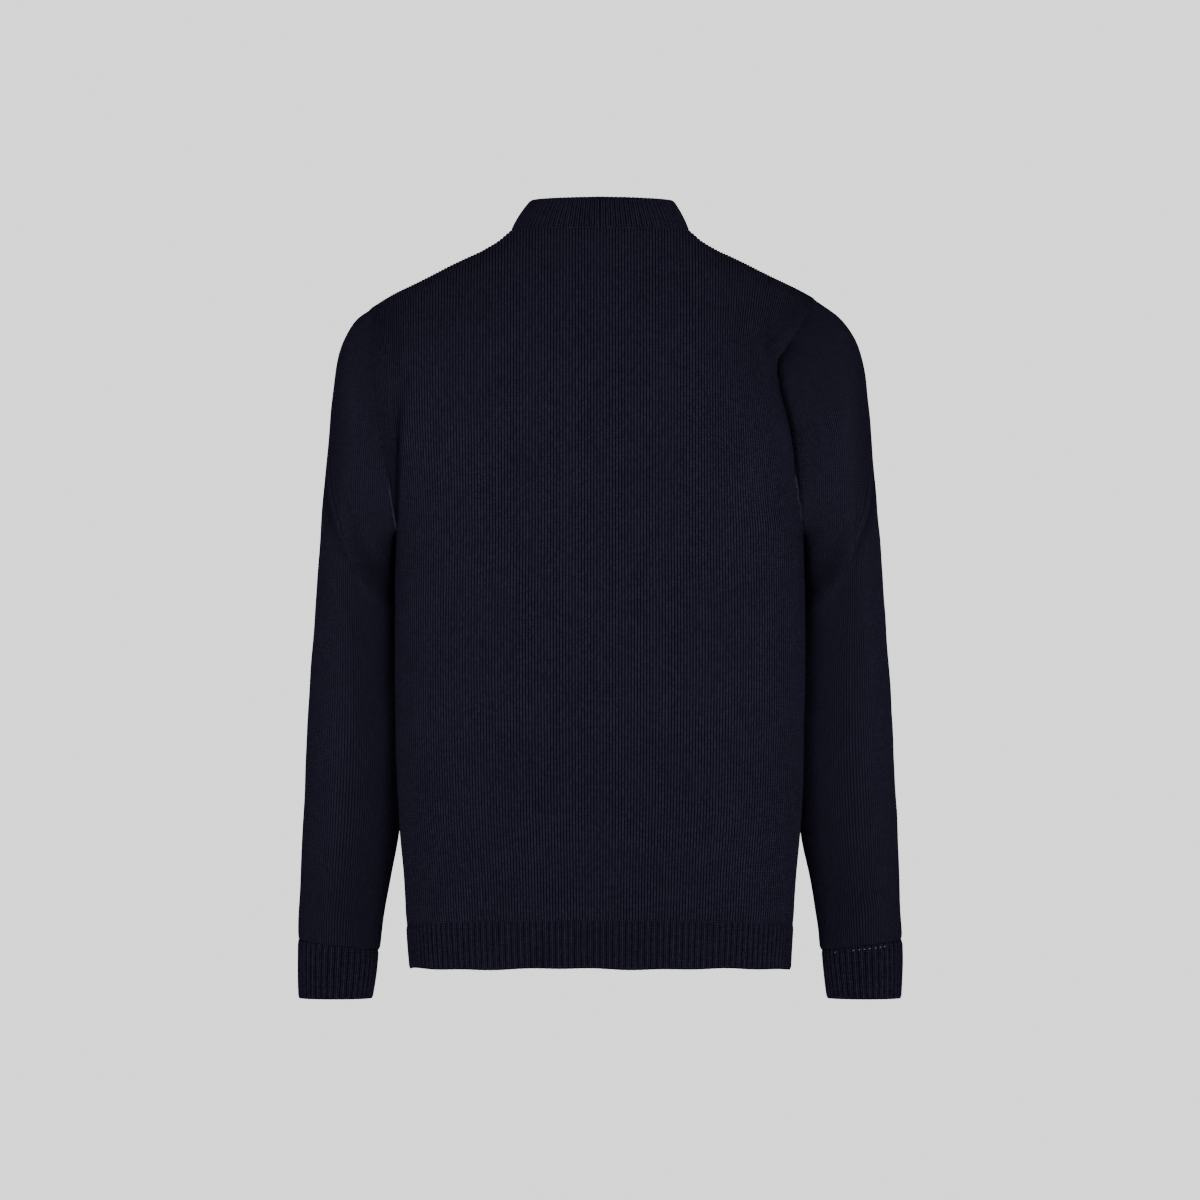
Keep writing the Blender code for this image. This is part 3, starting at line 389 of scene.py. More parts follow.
def row_depth(half, x_share, edge_y, middle_y, openness, tuck):
    """Depth of a row: round like a tube below the arm, open where it meets the armhole."""
    power = SECTION_POWER[half]
    lip = np.clip(tuck / FULL_TUCK, 0, 1)
    width_open = OPEN_POWERS[0] + (LIP_POWERS[0] - OPEN_POWERS[0]) * lip
    depth_open = OPEN_POWERS[1] + (LIP_POWERS[1] - OPEN_POWERS[1]) * lip
    width_power = power + (width_open - power) * openness
    depth_power = power + (depth_open - power) * openness
    fullness = (1 - np.clip(x_share, 0, 1) ** width_power) ** (1 / depth_power)
    return edge_y + (middle_y - edge_y) * fullness


def torso(half, across, level, wall=0.0):
    """A face of the torso, inside its outer one by a wall. across runs -1 to 1 from seam to
    seam. level runs from 0 at the hem seam to 1 at the underarm and 2 at the shoulder seam
    and neckline."""
    sign = 1 if half == "back" else -1
    across, level = np.broadcast_arrays(np.asarray(across, float), np.asarray(level, float))
    side, q = np.where(across < 0, -1.0, 1.0), np.abs(across)
    share = np.interp(q, ACROSS_SHARE, WIDTH_SHARE)

    below_z = HEM_SEAM_Z + (UNDERARM_Z - HEM_SEAM_Z) * np.minimum(level, 1.0)
    width = smooth(SECTIONS, "half_width", below_z) - wall
    if half == "back":
        held = np.where(level < 0, 1 + HEM_ARCH_FALL * level, np.clip(1 - level, 0, 1) ** 2)
        below_z = below_z + HEM_ARCH * (1 - q**2) * held
    end = SEAM_BEHIND if half == "back" else -SEAM_BEHIND
    angle = math.pi - (math.pi - end) * np.clip(level - 1, 0, 1)
    rise = np.cos(angle)
    underarm_x = smooth(SECTIONS, "half_width", UNDERARM_Z) - wall
    edge_x = np.where(rise > 0, ARMHOLE_MIDDLE_X + (ARMHOLE_TOP_X - ARMHOLE_MIDDLE_X) * rise,
                      ARMHOLE_MIDDLE_X + (ARMHOLE_MIDDLE_X - underarm_x) * rise)
    turned = np.degrees(angle) * sign
    tuck = np.where(side > 0, 0.0, smooth(TUCKS, "right", turned))
    tuck = np.where(level > 1, np.maximum(tuck, 0.0), 0.0)
    edge_x = np.where(level > 1, edge_x, width)
    armhole_depth = ARMHOLE_DEPTH[half] - wall
    seam_y = sign * SIDE_SEAM_Y
    edge_y = armhole_depth * np.sin(angle) + seam_y * np.maximum(0, -rise)
    edge_y = np.where(level > 1, edge_y, seam_y)

    x = width * share + (edge_x - width) * q**4
    from_neck = np.clip((x - NECK_HALF_WIDTH) / (edge_x - NECK_HALF_WIDTH), 0, 1)
    x = x - tuck * from_neck**2
    z = np.where(level > 1, SHOULDER_Z + (SHOULDER_Z - UNDERARM_Z) * rise, below_z)
    z = np.minimum(z, SHOULDER_Z)
    openness = eased((z - UNDERARM_Z) / (SHOULDER_Z - UNDERARM_Z))
    middle = smooth(SECTIONS, half, z) - wall
    arch = (level > 1) & (rise > 0)
    row_edge_x = np.where(arch, ARMHOLE_MIDDLE_X, edge_x)
    row_x = width * share + (row_edge_x - width) * q**4
    row_edge_y = seam_y + (armhole_depth - seam_y) * openness
    depth = row_depth(half, row_x / row_edge_x, row_edge_y, middle, openness,
                      tuck * from_neck)
    depth = depth + np.where(rise > 0, 0, edge_y - row_edge_y) * q**16

    climb = np.clip((math.pi / 2 - angle) / (math.pi / 2 - end), 0, 1) * arch_end(half, x, wall)
    power = 2 + (SHOULDER_POWER[half] - 2) * (1 - q**3)
    crest = smooth(RIDGE, "z", x) - wall - SHOULDER_Z
    arch_y = depth * np.clip(np.cos(climb), 0, 1) ** (2 / power)
    arch_z = SHOULDER_Z + crest * np.sin(climb) ** (2 / power)
    if half == "front":
        over = climb > math.pi / 2
        back_middle = smooth(SECTIONS, "back", SHOULDER_Z) - wall
        back_depth = row_depth("back", row_x / row_edge_x, ARMHOLE_DEPTH["back"] - wall,
                               back_middle, 1.0, tuck * from_neck)
        back_power = 2 + (SHOULDER_POWER["back"] - 2) * (1 - q**3)
        behind = np.clip(-np.cos(climb), 0, 1)
        arch_y = np.where(over, -back_depth * behind ** (2 / back_power), arch_y)
        arch_z = np.where(over, SHOULDER_Z + crest * np.abs(np.sin(climb)) ** (2 / back_power),
                          arch_z)
    depth = np.where(arch, arch_y, depth)
    z = np.where(arch, arch_z, z)

    relief = crease_relief(CREASES[half], side * x, z) * (1 - q**8)
    if half == "back":
        relief = relief + fold_relief(side * x, z, edge_x - tuck) * (1 - q**40)
    hem_fade = np.clip((z - HEM_SEAM_Z) / 0.03, 0, 1)
    end_fade = np.where(arch, 1 - (climb / arch_end(half, x, wall)) ** 4, 1.0)
    depth = depth + relief * hem_fade * end_fade
    return np.stack([side * x, sign * depth, z], axis=-1)


# ---- rings of sleeve and cuff
def ring(table, row, angle):
    """Outer face of a sleeve on the +X side. angle is 0 outside, and rises to the back."""
    outer = np.stack([smooth(table, "outer_x", row), smooth(table, "outer_z", row)], -1)
    inner = np.stack([smooth(table, "inner_x", row), smooth(table, "inner_z", row)], -1)
    middle, half = (outer + inner) / 2, (outer - inner) / 2
    depth = smooth(table, "half_depth", row) * np.sin(angle)
    to_body = (1 - np.cos(angle)) / 2
    skew = smooth(table, "lean", row) * depth * to_body
    x = middle[..., 0] + half[..., 0] * np.cos(angle) + skew
    z = middle[..., 1] + half[..., 1] * np.cos(angle)
    return np.stack([x, smooth(table, "centre_y", row) + depth, z], axis=-1)


def armhole(angle, side):
    """Outer face at one armhole's edge, brought to the +X side, by the same angle. side is
    1 for the left and -1 for the right."""
    back = (angle >= SEAM_BEHIND) & (angle <= math.pi)
    turned = np.where(back, angle, -angle)
    end = np.where(back, SEAM_BEHIND, -SEAM_BEHIND)
    level = 1 + (math.pi - turned) / (math.pi - end)
    edge = np.where(back[..., None], torso("back", side, level), torso("front", side, level))
    return edge * np.array([side, 1, 1])


def sleeve(row, angle, side):
    """Outer face of a sleeve: its rings, bent at the top to fit the armhole."""
    row, angle = np.broadcast_arrays(np.asarray(row, float), np.asarray(angle, float))
    mouth = armhole(angle, side)
    mouth[..., 0] -= SLEEVE_OVERLAP
    fit = np.clip(1 - row / 2, 0, 1)[..., None] ** 2
    first = ring(SLEEVE, np.zeros_like(row), angle)
    return ring(SLEEVE, row, angle) + (mouth - first) * fit


# ---- collar
def neckline(turn, wall=0.0):
    """A face of the torso at the neckline. turn is -1 at the centre front, 0 at the side and
    1 at the centre back, on the +X side."""
    x = np.maximum(NECK_HALF_WIDTH * np.cos(turn * math.pi / 2), 0.0)
    back = torso("back", across_at(x, wall), 2.0, wall)
    front = torso("front", across_at(x, wall), 2.0, wall)
    return np.where((turn > 0)[..., None], back, front)


def collar_loop(count, wall=0.0):
    """Evenly spaced points of the neckline, from the left front edge round to the right."""
    start = -math.acos(FRONT_EDGE_X / NECK_HALF_WIDTH) * 2 / math.pi
    turn = np.linspace(start, 1.0, 400)
    half = neckline(turn, wall)
    run = run_down(half[:, None])[:, 0]
    wanted = np.linspace(0, run[-1], count // 2 + 1)
    turns = np.interp(wanted, run, turn)
    left = np.stack([np.interp(wanted, run, half[:, axis]) for axis in range(3)], -1)
    both = np.concatenate([left, mirrored(left[-2::-1])])
    return np.concatenate([turns, turns[-2::-1]]), both


def collar_points(count, heights, wall=0.0):
    """Face of the collar, from its seam up to its top edge."""
    turn, base = collar_loop(count, wall)
    seam_lift = wall * 0.85 + SEAM_GAP
    behind = np.clip(turn, 0, 1)[:, None] ** 1.5
    before = np.clip(-turn, 0, 1)[:, None] ** 1.5
    rise = COLLAR_RISE["side"] + (COLLAR_RISE["back"] - COLLAR_RISE["side"]) * behind
    rise = rise + (COLLAR_RISE["front"] - COLLAR_RISE["side"]) * before
    depth_share = np.where(turn > 0, COLLAR_TOP_BACK, COLLAR_TOP_FRONT)
    beyond_zip = np.sign(base[:, 0]) * np.minimum(np.abs(base[:, 0]), FRONT_EDGE_X)
    top_share = np.where(base[:, 0] > 0, COLLAR_TOP_SHARE["left"], COLLAR_TOP_SHARE["right"])
    top_x = beyond_zip + (base[:, 0] - beyond_zip) * top_share
    top = np.stack([top_x, base[:, 1] * depth_share, base[:, 2]], -1)
    top[:, 2:] += rise
    base = base + np.array([0, 0, seam_lift])
    return np.stack([base + (top - base) * share for share in heights])


# ---- the zip's line
def front_line(z):
    """Depth of the solids' inner face beside the zip, at heights from hem to collar."""
    level = np.linspace(-0.12, 2.0, 300)
    panel = torso("front", across_at(FRONT_EDGE_X, WALL), level, WALL)
    edge = collar_points(8, (0.0, 1.0), WALL)[:, 0]
    line = np.concatenate([panel[:, 1:], edge[:, 1:]])
    return np.interp(z, line[:, 1], line[:, 0])


def zip_frame(z):
    """Place on the zip's middle line, with its upward and outward directions."""
    step = 0.002
    along = Vector((0, float(front_line(z + step) - front_line(z - step)), 2 * step)).normalized()
    out = Vector((0, -along.z, along.y))
    return Vector((0, float(front_line(z)), z)), along, out


# ---- knitted surfaces
def along_rows(points, closed):
    """Steps from column to column of a grid of points."""
    if not closed:
        return np.gradient(points, axis=1)
    ring_points = points[:, :-1]
    step = (np.roll(ring_points, -1, axis=1) - np.roll(ring_points, 1, axis=1)) / 2
    return np.concatenate([step, step[:, :1]], axis=1)


def outward(points, closed, away_from):
    """Unit normals of a grid, pointing away from a place inside the garment."""
    normal = np.cross(along_rows(points, closed), np.gradient(points, axis=0))
    normal /= np.maximum(np.linalg.norm(normal, axis=-1, keepdims=True), 1e-12)
    facing = np.sum(normal * (points - away_from))
    return normal if facing > 0 else -normal


def stocking_stitch(wales):
    """Height across the columns of stitches, 0 in a gutter and 1 on a stitch's two legs."""
    across = wales - np.floor(wales)
    dip = 0.25 * np.exp(-(((across - 0.5) / 0.12) ** 2))
    return np.sin(math.pi * across) ** 0.6 - dip


def wavering(points, size):
    """Slight unevenness of handled knit: a few long waves of unlike directions."""
    x, y, z = points[..., 0], points[..., 1], points[..., 2]
    waves = (
        (61, 23, 38, 0.3, 0.40), (-37, 52, 71, 1.9, 0.30),
        (118, -64, 45, 4.1, 0.20), (83, 97, -132, 2.6, 0.16), (-151, 60, 88, 0.9, 0.12),
    )
    height = sum(share * np.sin(a * x + b * y + c * z + phase)
                 for a, b, c, phase, share in waves)
    return size * height


def seam_fade(distance):
    """1 at a seam, falling to 0 beside it."""
    return np.exp(-((distance / SEAM_WIDTH) ** 2))


def grid_faces(rows, columns, closed):
    """Corners of each face of a grid, joined round when it is closed."""
    width = columns - 1 if closed else columns
    row, column = np.meshgrid(np.arange(rows - 1), np.arange(columns - 1), indexing="ij")
    beside = (column + 1) % width if closed else column + 1
    corners = (row * width + column, row * width + beside,
               (row + 1) * width + beside, (row + 1) * width + column)
    return np.stack(corners, axis=-1).reshape(-1, 4)


def add_object(name, data):
    item = bpy.data.objects.new(name, data)
    bpy.context.scene.collection.objects.link(item)
    return item


def add_piece(name, mesh, material):
    mesh.materials.append(material)
    return add_object(name, mesh)


def shell(name, points, stitches, material, away_from, closed=False, thickness=SHELL):
    """A thin knitted shell from a grid of its outer face. stitches gives each point's place
    in the knit: its wale and its course."""
    rows, columns = points.shape[:2]
    faces = grid_faces(rows, columns, closed)
    normal = np.cross(along_rows(points, closed), np.gradient(points, axis=0))
    inward = np.sum(normal * (points - away_from)) < 0
    if inward:
        faces = faces[:, ::-1]
    kept = points[:, :-1] if closed else points
    mesh = bpy.data.meshes.new(name)
    mesh.from_pydata(kept.reshape(-1, 3), [], faces.tolist())
    knit = mesh.uv_layers.new(name="knit")
    places = stitches.reshape(-1, 2)[grid_faces(rows, columns, False)]
    if inward:
        places = places[:, ::-1]
    knit.data.foreach_set("uv", places.astype(np.float32).ravel())
    mesh.shade_smooth()
    piece = add_piece(name, mesh, material)
    solidify = piece.modifiers.new("thickness", "SOLIDIFY")
    solidify.thickness = thickness
    solidify.offset = -1.0
    return piece


def dress(piece, node):
    """The piece stands for a solid of the garment: the solid is hidden and the piece hangs on the
    garment's body.
    """
    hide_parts(node)
    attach(piece, "garment")


# ---- body panels
def panel_levels(angle_rows):
    below = np.linspace(0.0, 1.0, round((UNDERARM_Z - HEM_SEAM_Z) / ROW_STEP) + 1)
    above = np.linspace(1.0, 2.0, angle_rows + 1)[1:]
    return np.concatenate([[0.0, 0.001], below[1:], above[:-1], [1.999, 2.0]])


def knit_panel(half, across, wales, angle_rows):
    """Outer face of a body panel with its wales raised and its seams drawn in."""
    levels = panel_levels(angle_rows)
    points = torso(half, across[None, :], levels[:, None])
    run = run_down(points)
    to_side = (1 - np.abs(across)) * smooth(SECTIONS, "half_width", UNDERARM_Z) * HALF_SECTION
    side = seam_fade(to_side)[None, :]
    sewn = np.maximum(0.5 * seam_fade(run), side)
    side_tuck = np.where(levels > 1, SEAM_TUCK["armhole"], SEAM_TUCK["side"])[:, None]
    tuck = np.maximum(SEAM_TUCK["hem"] * seam_fade(run), side_tuck * side)
    height = WALE_RAISE * stocking_stitch(wales)[None, :] * (1 - sewn)
    height = height + wavering(points, WAVER["body"]) * (1 - sewn) - tuck
    points = points + outward(points, False, INSIDE) * height[..., None]
    stitches = np.stack([np.broadcast_to(wales, run.shape), run / COURSE], axis=-1)
    return points, stitches


def fold_dip(turned, away):
    """Depth of the narrow crease between the right sleeve and the fold over its seam, by
    degrees round the armhole and by the distance from the seam."""
    share = np.interp(turned, *zip(*FOLD_DIPS))
    return FOLD_DIP * share * np.exp(-((away / FOLD_WIDTH) ** 2))


def make_back(material):
    wales = 2 * round(BACK_HALF_RUN / BODY_WALE)
    columns = 4 * wales
    across = np.linspace(-1, 1, columns + 1)
    points, stitches = knit_panel("back", across, np.arange(columns + 1) / 4, BACK_ARCH_ROWS)
    above = np.clip(panel_levels(BACK_ARCH_ROWS) - 1, 0, 1)[:, None]
    turned = 180 - (180 - math.degrees(SEAM_BEHIND)) * above
    to_seam = (1 + across[None, :]) * SEAM_REACH
    points[..., 1] -= fold_dip(turned, to_seam)
    piece = shell("back_panel_knit", points, stitches, material, INSIDE)
    dress(piece, "back")


def make_fronts(material):
    """Both fronts, with the stitches of the left one on both."""
    wales = round(FRONT_RUN / BODY_WALE)
    across = np.linspace(across_at(FRONT_EDGE_X), 1, 3 * wales + 1)
    places = np.arange(3 * wales + 1) / 3
    left, stitches = knit_panel("front", across, places, FRONT_ARCH_ROWS)
    right, _ = knit_panel("front", -across[::-1], places, FRONT_ARCH_ROWS)
    for side, points in (("left", left), ("right", right)):
        piece = shell(f"front_{side}_knit", points, stitches, material, INSIDE)
        dress(piece, f"front_{side}")


# ---- sleeves
def sleeve_relief(rows, row, angle):
    """Height of a sleeve's own creases, placed by ring and by degrees round the arm."""
    along, round_arm = row * SLEEVE_RING_STEP, np.degrees(angle) * SLEEVE_DEGREE
    height = np.zeros_like(along)
    for crease in rows:
        for turn in (-360, 0, 360):
            start, end = ((place * SLEEVE_RING_STEP, (degrees + turn) * SLEEVE_DEGREE)
                          for place, degrees in (crease[:2], crease[2:4]))
            height += crease_height(along, round_arm, start, end, *crease[4:])
    return height


def even_angles(columns):
    """Angles round the sleeve, evenly spaced along half of it behind and half in front."""
    halves = []
    for end in (math.pi, -math.pi):
        angle = np.linspace(0, end, 400)
        loop = ring(SLEEVE, np.full(400, EVEN_ROW), angle)
        share = even_steps(loop[:, 0], loop[:, 1])
        halves.append(np.interp(np.linspace(0, 1, columns // 2 + 1), share, angle))
    return np.concatenate([halves[0], halves[1][-2::-1]])


def hanging_wales(points, wales):
    """Place round half a sleeve, in wales, by the length run from its outer side at the same
    height, so that the wales hang straight down through the cap."""
    heights = np.linspace(points[..., 2].max(), points[..., 2].min(), 160)
    columns = points.shape[1]
    slices = np.empty((len(heights), columns, 2))
    for column in range(columns):
        down = np.maximum.accumulate(-points[:, column, 2])
        for axis in (0, 1):
            slices[:, column, axis] = np.interp(-heights, down, points[:, column, axis])
    run = run_down(slices.swapaxes(0, 1)).T
    whole = np.interp(np.maximum(-heights, -UNDERARM_Z + 0.02), -heights, run[:, -1])
    share = run / whole[:, None]
    place = [np.interp(-points[:, column, 2], -heights, share[:, column])
             for column in range(columns)]
    return np.stack(place, axis=1) * wales


def make_sleeves(material):
    wales = 2 * round(SLEEVE_HALF_RUN / SLEEVE_WALE)
    columns = 4 * wales
    angle = even_angles(columns)
    rows = np.linspace(0, len(SLEEVE) - 1, SLEEVE_ROWS)
    rows = np.sort(np.concatenate([rows, END_ROWS]))
    cap = (1 - eased((rows - CAP_ROWS[0]) / (CAP_ROWS[1] - CAP_ROWS[0])))[:, None]
    own = np.arange(columns + 1) / 4
    for side, creases in SLEEVE_CREASES.items():
        points = sleeve(rows[:, None], angle[None, :], 1 if side == "left" else -1)
        points[:, -1] = points[:, 0]
        half = columns // 2 + 1
        behind = hanging_wales(points[:, :half], wales / 2)
        before = wales - hanging_wales(points[:, :half - 2:-1], wales / 2)[:, ::-1]
        hanging = np.concatenate([behind, before[:, 1:]], axis=1)
        place = own[None, :] * (1 - cap) + hanging * cap
        run = run_down(points)
        top, bottom = seam_fade(run), seam_fade(run[-1] - run)
        free = 1 - np.maximum(top, bottom)
        height = WALE_RAISE * stocking_stitch(own)[None, :] * free * (1 - cap) ** 2
        height = height + wavering(points * (1 if side == "left" else 1.3), WAVER["sleeve"]) * free
        height = height + SEAM_TUCK["armhole"] * top - SEAM_TUCK["cuff"] * bottom
        ends = np.clip(rows / 1.5, 0, 1) * np.clip((rows[-1] - rows) / 1.0, 0, 1)
        relief = sleeve_relief(creases, *np.broadcast_arrays(rows[:, None], angle[None, :]))
        height = height + relief * ends[:, None]
        height[:, -1] = height[:, 0]
        middle = points[:, :-1].mean(axis=1, keepdims=True)
        points = points + outward(points, True, middle) * height[..., None]
        if side == "right":
            points[..., 1] -= fold_dip(np.degrees(angle)[None, :], run)
        down = run * (1 - cap) + (points[:1, :1, 2] - points[..., 2]) * cap
        stitches = np.stack([place, down / COURSE], axis=-1)
        if side == "right":
            points = mirrored(points)
        middle = points[:, :-1].mean(axis=1, keepdims=True)
        piece = shell(f"sleeve_{side}_knit", points, stitches, material, middle, closed=True)
        dress(piece, f"sleeve_{side}")


# ---- ribbed bands
def rib_profile(ribs):
    """Height across ribs, 0 in the furrow and 1 on the rib."""
    across = ribs - np.floor(ribs)
    flat = RIB_SHARE / 2 * 0.55
    slope = np.clip((np.abs(across - 0.5) - flat) / (0.5 - flat), 0, 1)
    return np.clip(1 - slope**1.3, 0, 1) ** 0.5


def rib_band(name, points, ribs, kind, material, closed, away_from, bulge=0.0, lift=0.0):
    """A ribbed band: raised ribs, a rolled free edge and a drawn-in seam."""
    run = run_down(points)
    total = run[-1]
    free, sewn = seam_fade(run * 1.5), seam_fade((total - run) * 1.2)
    share = run / total
    height = RIB_LIFT[kind] * (rib_profile(ribs)[None, :] - 0.35) * (1 - 0.6 * sewn)
    height = height - FREE_EDGE_ROLL * free - SEAM_TUCK["cuff"] * sewn
    height = height + bulge * np.sin(math.pi * share)
    height = height + wavering(points, WAVER["rib"]) * (1 - sewn) + lift
    if closed:
        height[:, -1] = height[:, 0]
    points = points + outward(points, closed, away_from) * height[..., None]
    wales = np.broadcast_to(ribs * WALES_IN_RIB[kind], run.shape)
    stitches = np.stack([wales, run / COURSE], axis=-1)
    piece = shell(name, points, stitches, material, away_from, closed, RIB_SHELL)
    dress(piece, name[:-len("_rib")])


def make_hem(material):
    ribs, steps = round(HEM_HALF_RUN / HEM_RIB_PITCH), RIB_STEPS["hem"]
    bottom = (HEM_BOTTOM_Z - HEM_SEAM_Z) / (UNDERARM_Z - HEM_SEAM_Z)
    levels = bottom * np.concatenate([[1.0, 0.985], np.linspace(0.94, 0.1, 9), [0.01, 0.0]])
    start = across_at(FRONT_EDGE_X)
    bands = (("hem_back_rib", "back", -1, 1, 2 * ribs, HEM_CUT),
             ("hem_front_left_rib", "front", start, 1, ribs, HEM_FRONT_CUT),
             ("hem_front_right_rib", "front", -1, -start, ribs, HEM_FRONT_CUT))
    for name, half, first, last, count, cut in bands:
        across = np.linspace(first, last, count * steps + 1)
        points = torso(half, across[None, :], levels[:, None])
        waving = 0.0006 * np.sin(across * 9.0) + 0.0004 * np.sin(across * 23.0 + 1)
        points[..., 2] += waving[None, :] * (levels / bottom)[:, None]
        rib_band(name, points, np.arange(len(across)) / steps, "hem", material, False,
                 (0, 0, HEM_BOTTOM_Z))


def make_cuffs(material):
    columns = CUFF_RIBS * RIB_STEPS["cuff"]
    angle = np.linspace(0, 2 * math.pi, columns + 1)
    rows = np.concatenate([[1.0, 0.985, 0.95], np.linspace(0.88, 0.08, 10), [0.01, 0.0]])
    for side in ("left", "right"):
        points = ring(CUFF, rows[:, None], angle[None, :])
        points[:, -1] = points[:, 0]
        if side == "right":
            points = mirrored(points)
        middle = points[:, :-1].mean(axis=1, keepdims=True)
        ribs = np.arange(columns + 1) / RIB_STEPS["cuff"]
        rib_band(f"cuff_{side}_rib", points, ribs, "cuff", material, True, middle,
                 CUFF_BULGE)


def make_eyelets(material):
    """Pale specks of painted light at the eyelets in the seam over the right cuff, one at a rib.
    """
    angle = np.linspace(math.radians(30), math.radians(150), 400)
    seam = mirrored(ring(CUFF, np.full_like(angle, EYELET_ROW), angle))
    light_specks = bmesh.new()
    for x in EYELET_X:
        y, z = (np.interp(x, seam[:, 0], seam[:, axis]) for axis in (1, 2))
        place = Matrix.Translation((x, y + RIB_LIFT["cuff"], z))
        bmesh.ops.create_icosphere(light_specks, subdivisions=2, radius=EYELET_RADIUS,
                                   matrix=place @ Matrix.Diagonal((1, 0.5, 0.7, 1)))
    mesh = bpy.data.meshes.new("cuff_right_eyelets")
    light_specks.to_mesh(mesh)
    light_specks.free()
    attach(add_piece("cuff_right_eyelets", mesh, material), "garment")


def make_collar(material):
    steps = RIB_STEPS["collar"]
    heights = np.concatenate([[1.0, 0.975, 0.93], np.linspace(0.86, 0.1, 8), [0.01, 0.0]])
    points = collar_points(COLLAR_RIBS * steps, heights)
    points[..., 2] -= COLLAR_OVERLAP * (1 - heights)[:, None]
    rib_band("collar_rib", points, np.arange(points.shape[1]) / steps, "collar", material, False,
             np.array([0, -0.01, 0.02]), COLLAR_BULGE, COLLAR_LIFT)


# ---- zip
def make_tapes(material):
    columns = np.linspace(TAPE["inner"], TAPE["inner"] + TAPE["width"], 5)
    for side, sign in SIDES:
        points = []
        for z in np.linspace(ZIP_BOTTOM_Z + 0.0005, ZIP_TOP_Z, TAPE["rows"]):
            place, _, out = zip_frame(z)
            face = place + out * (TAPE["depth"] + TAPE["wall"])
            points.append([[sign * x, *face[1:]] for x in columns])
        points = np.array(points)
        stitches = np.stack([points[..., 0], run_down(points)], axis=-1) / TAPE_THREAD
        piece = shell(f"zip_tape_{side}_woven", points, stitches, material, INSIDE,
                      thickness=TAPE_SHELL)
        dress(piece, f"zip_tape_{side}")


def tooth_mesh():
    """Corners and faces of one moulded tooth: a bevelled block, X across and Z up."""
    block = bmesh.new()
    bmesh.ops.create_cube(block, size=1.0)
    size = (TOOTH["width"], TOOTH["depth"], TOOTH["height"])
    bmesh.ops.scale(block, verts=block.verts, vec=size)
    bmesh.ops.bevel(block, geom=block.edges[:], offset=TOOTH_BEVEL, segments=1, affect="EDGES")
    corners = np.array([vertex.co[:] for vertex in block.verts])
    faces = [[vertex.index for vertex in face.verts] for face in block.faces]
    block.free()
    return corners, faces


def make_teeth(material):
    corners, faces = tooth_mesh()
    low, high = ZIP_BOTTOM_Z + TEETH["above_box"], SLIDER_Z - TEETH["below_slider"]
    count = int((high - low) / TOOTH["pitch"])
    for side, sign in SIDES:
        points, all_faces = [], []
        for index in range(count):
            z = low + (index + (0.5 if sign > 0 else 0.0)) * TOOTH["pitch"]
            place, along, out = zip_frame(z)
            middle = place + out * (TEETH["depth"] + TEETH["wall"] / 2)
            turn = np.array([(sign, 0, 0), out, along])
            centre = np.array([sign * (TOOTH["width"] / 2 - TOOTH["overlap"]), *middle[1:]])
            all_faces += [[corner + len(points) * len(corners) for corner in face]
                          for face in faces]
            points.append(centre + corners @ turn)
        mesh = bpy.data.meshes.new(f"zip_teeth_{side}_row")
        mesh.from_pydata(np.concatenate(points), [], all_faces)
        piece = add_piece(f"zip_teeth_{side}_row", mesh, material)
        upright(piece)
        dress(piece, f"zip_teeth_{side}")


def upright(piece):
    """Turn a piece's faces outward."""
    faces = bmesh.new()
    faces.from_mesh(piece.data)
    bmesh.ops.recalc_face_normals(faces, faces=faces.faces)
    faces.to_mesh(piece.data)
    faces.free()


# ---- materials
def fill(node, values):
    """Set constants on a node's own sockets."""
    for name, value in values.items():
        node.inputs[name].default_value = value


class Nodes:
    """Short ways to add shader nodes and link them."""

    def __init__(self, name):
        self.material = bpy.data.materials.new(name)
        self.material.use_nodes = True
        self.tree = self.material.node_tree
        self.shader = self.tree.nodes["Principled BSDF"]

    def add(self, kind, **settings):
        node = self.tree.nodes.new(kind)
        for key, value in settings.items():
            setattr(node, key, value)
        return node

    def link(self, source, target):
        self.tree.links.new(source, target)

    def math(self, operation, first, second=None, clamp=False):
        node = self.add("ShaderNodeMath", operation=operation, use_clamp=clamp)
        for socket, value in zip(node.inputs, (first, second)):
            if isinstance(value, (int, float)):
                socket.default_value = value
            elif value is not None:
                self.link(value, socket)
        return node.outputs[0]

    def feed(self, name, value):
        """Link a value to one of the shader's sockets."""
        self.link(value, self.shader.inputs[name])

    def noise(self, scale, detail, roughness):
        coordinates = self.add("ShaderNodeTexCoord")
        node = self.add("ShaderNodeTexNoise")
        fill(node, {"Scale": scale, "Detail": detail, "Roughness": roughness})
        self.link(coordinates.outputs["Object"], node.inputs["Vector"])
        return node.outputs[0]

    def ramp(self, value, stops):
        node = self.add("ShaderNodeValToRGB")
        while len(node.color_ramp.elements) < len(stops):
            node.color_ramp.elements.new(0.5)
        for element, (place, colour) in zip(node.color_ramp.elements, stops):
            element.position = place
            element.color = (*colour, 1.0)
        self.link(value, node.inputs[0])
        return node.outputs[0]

    def total(self, first, *terms):
        """The first term with each other value added at its own weight."""
        for value, weight in terms:
            first = self.math("ADD", first, self.math("MULTIPLY", value, weight))
        return first

    def bump(self, height, strength, distance):
        node = self.add("ShaderNodeBump")
        fill(node, {"Strength": strength, "Distance": distance})
        self.link(height, node.inputs["Height"])
        return node.outputs[0]


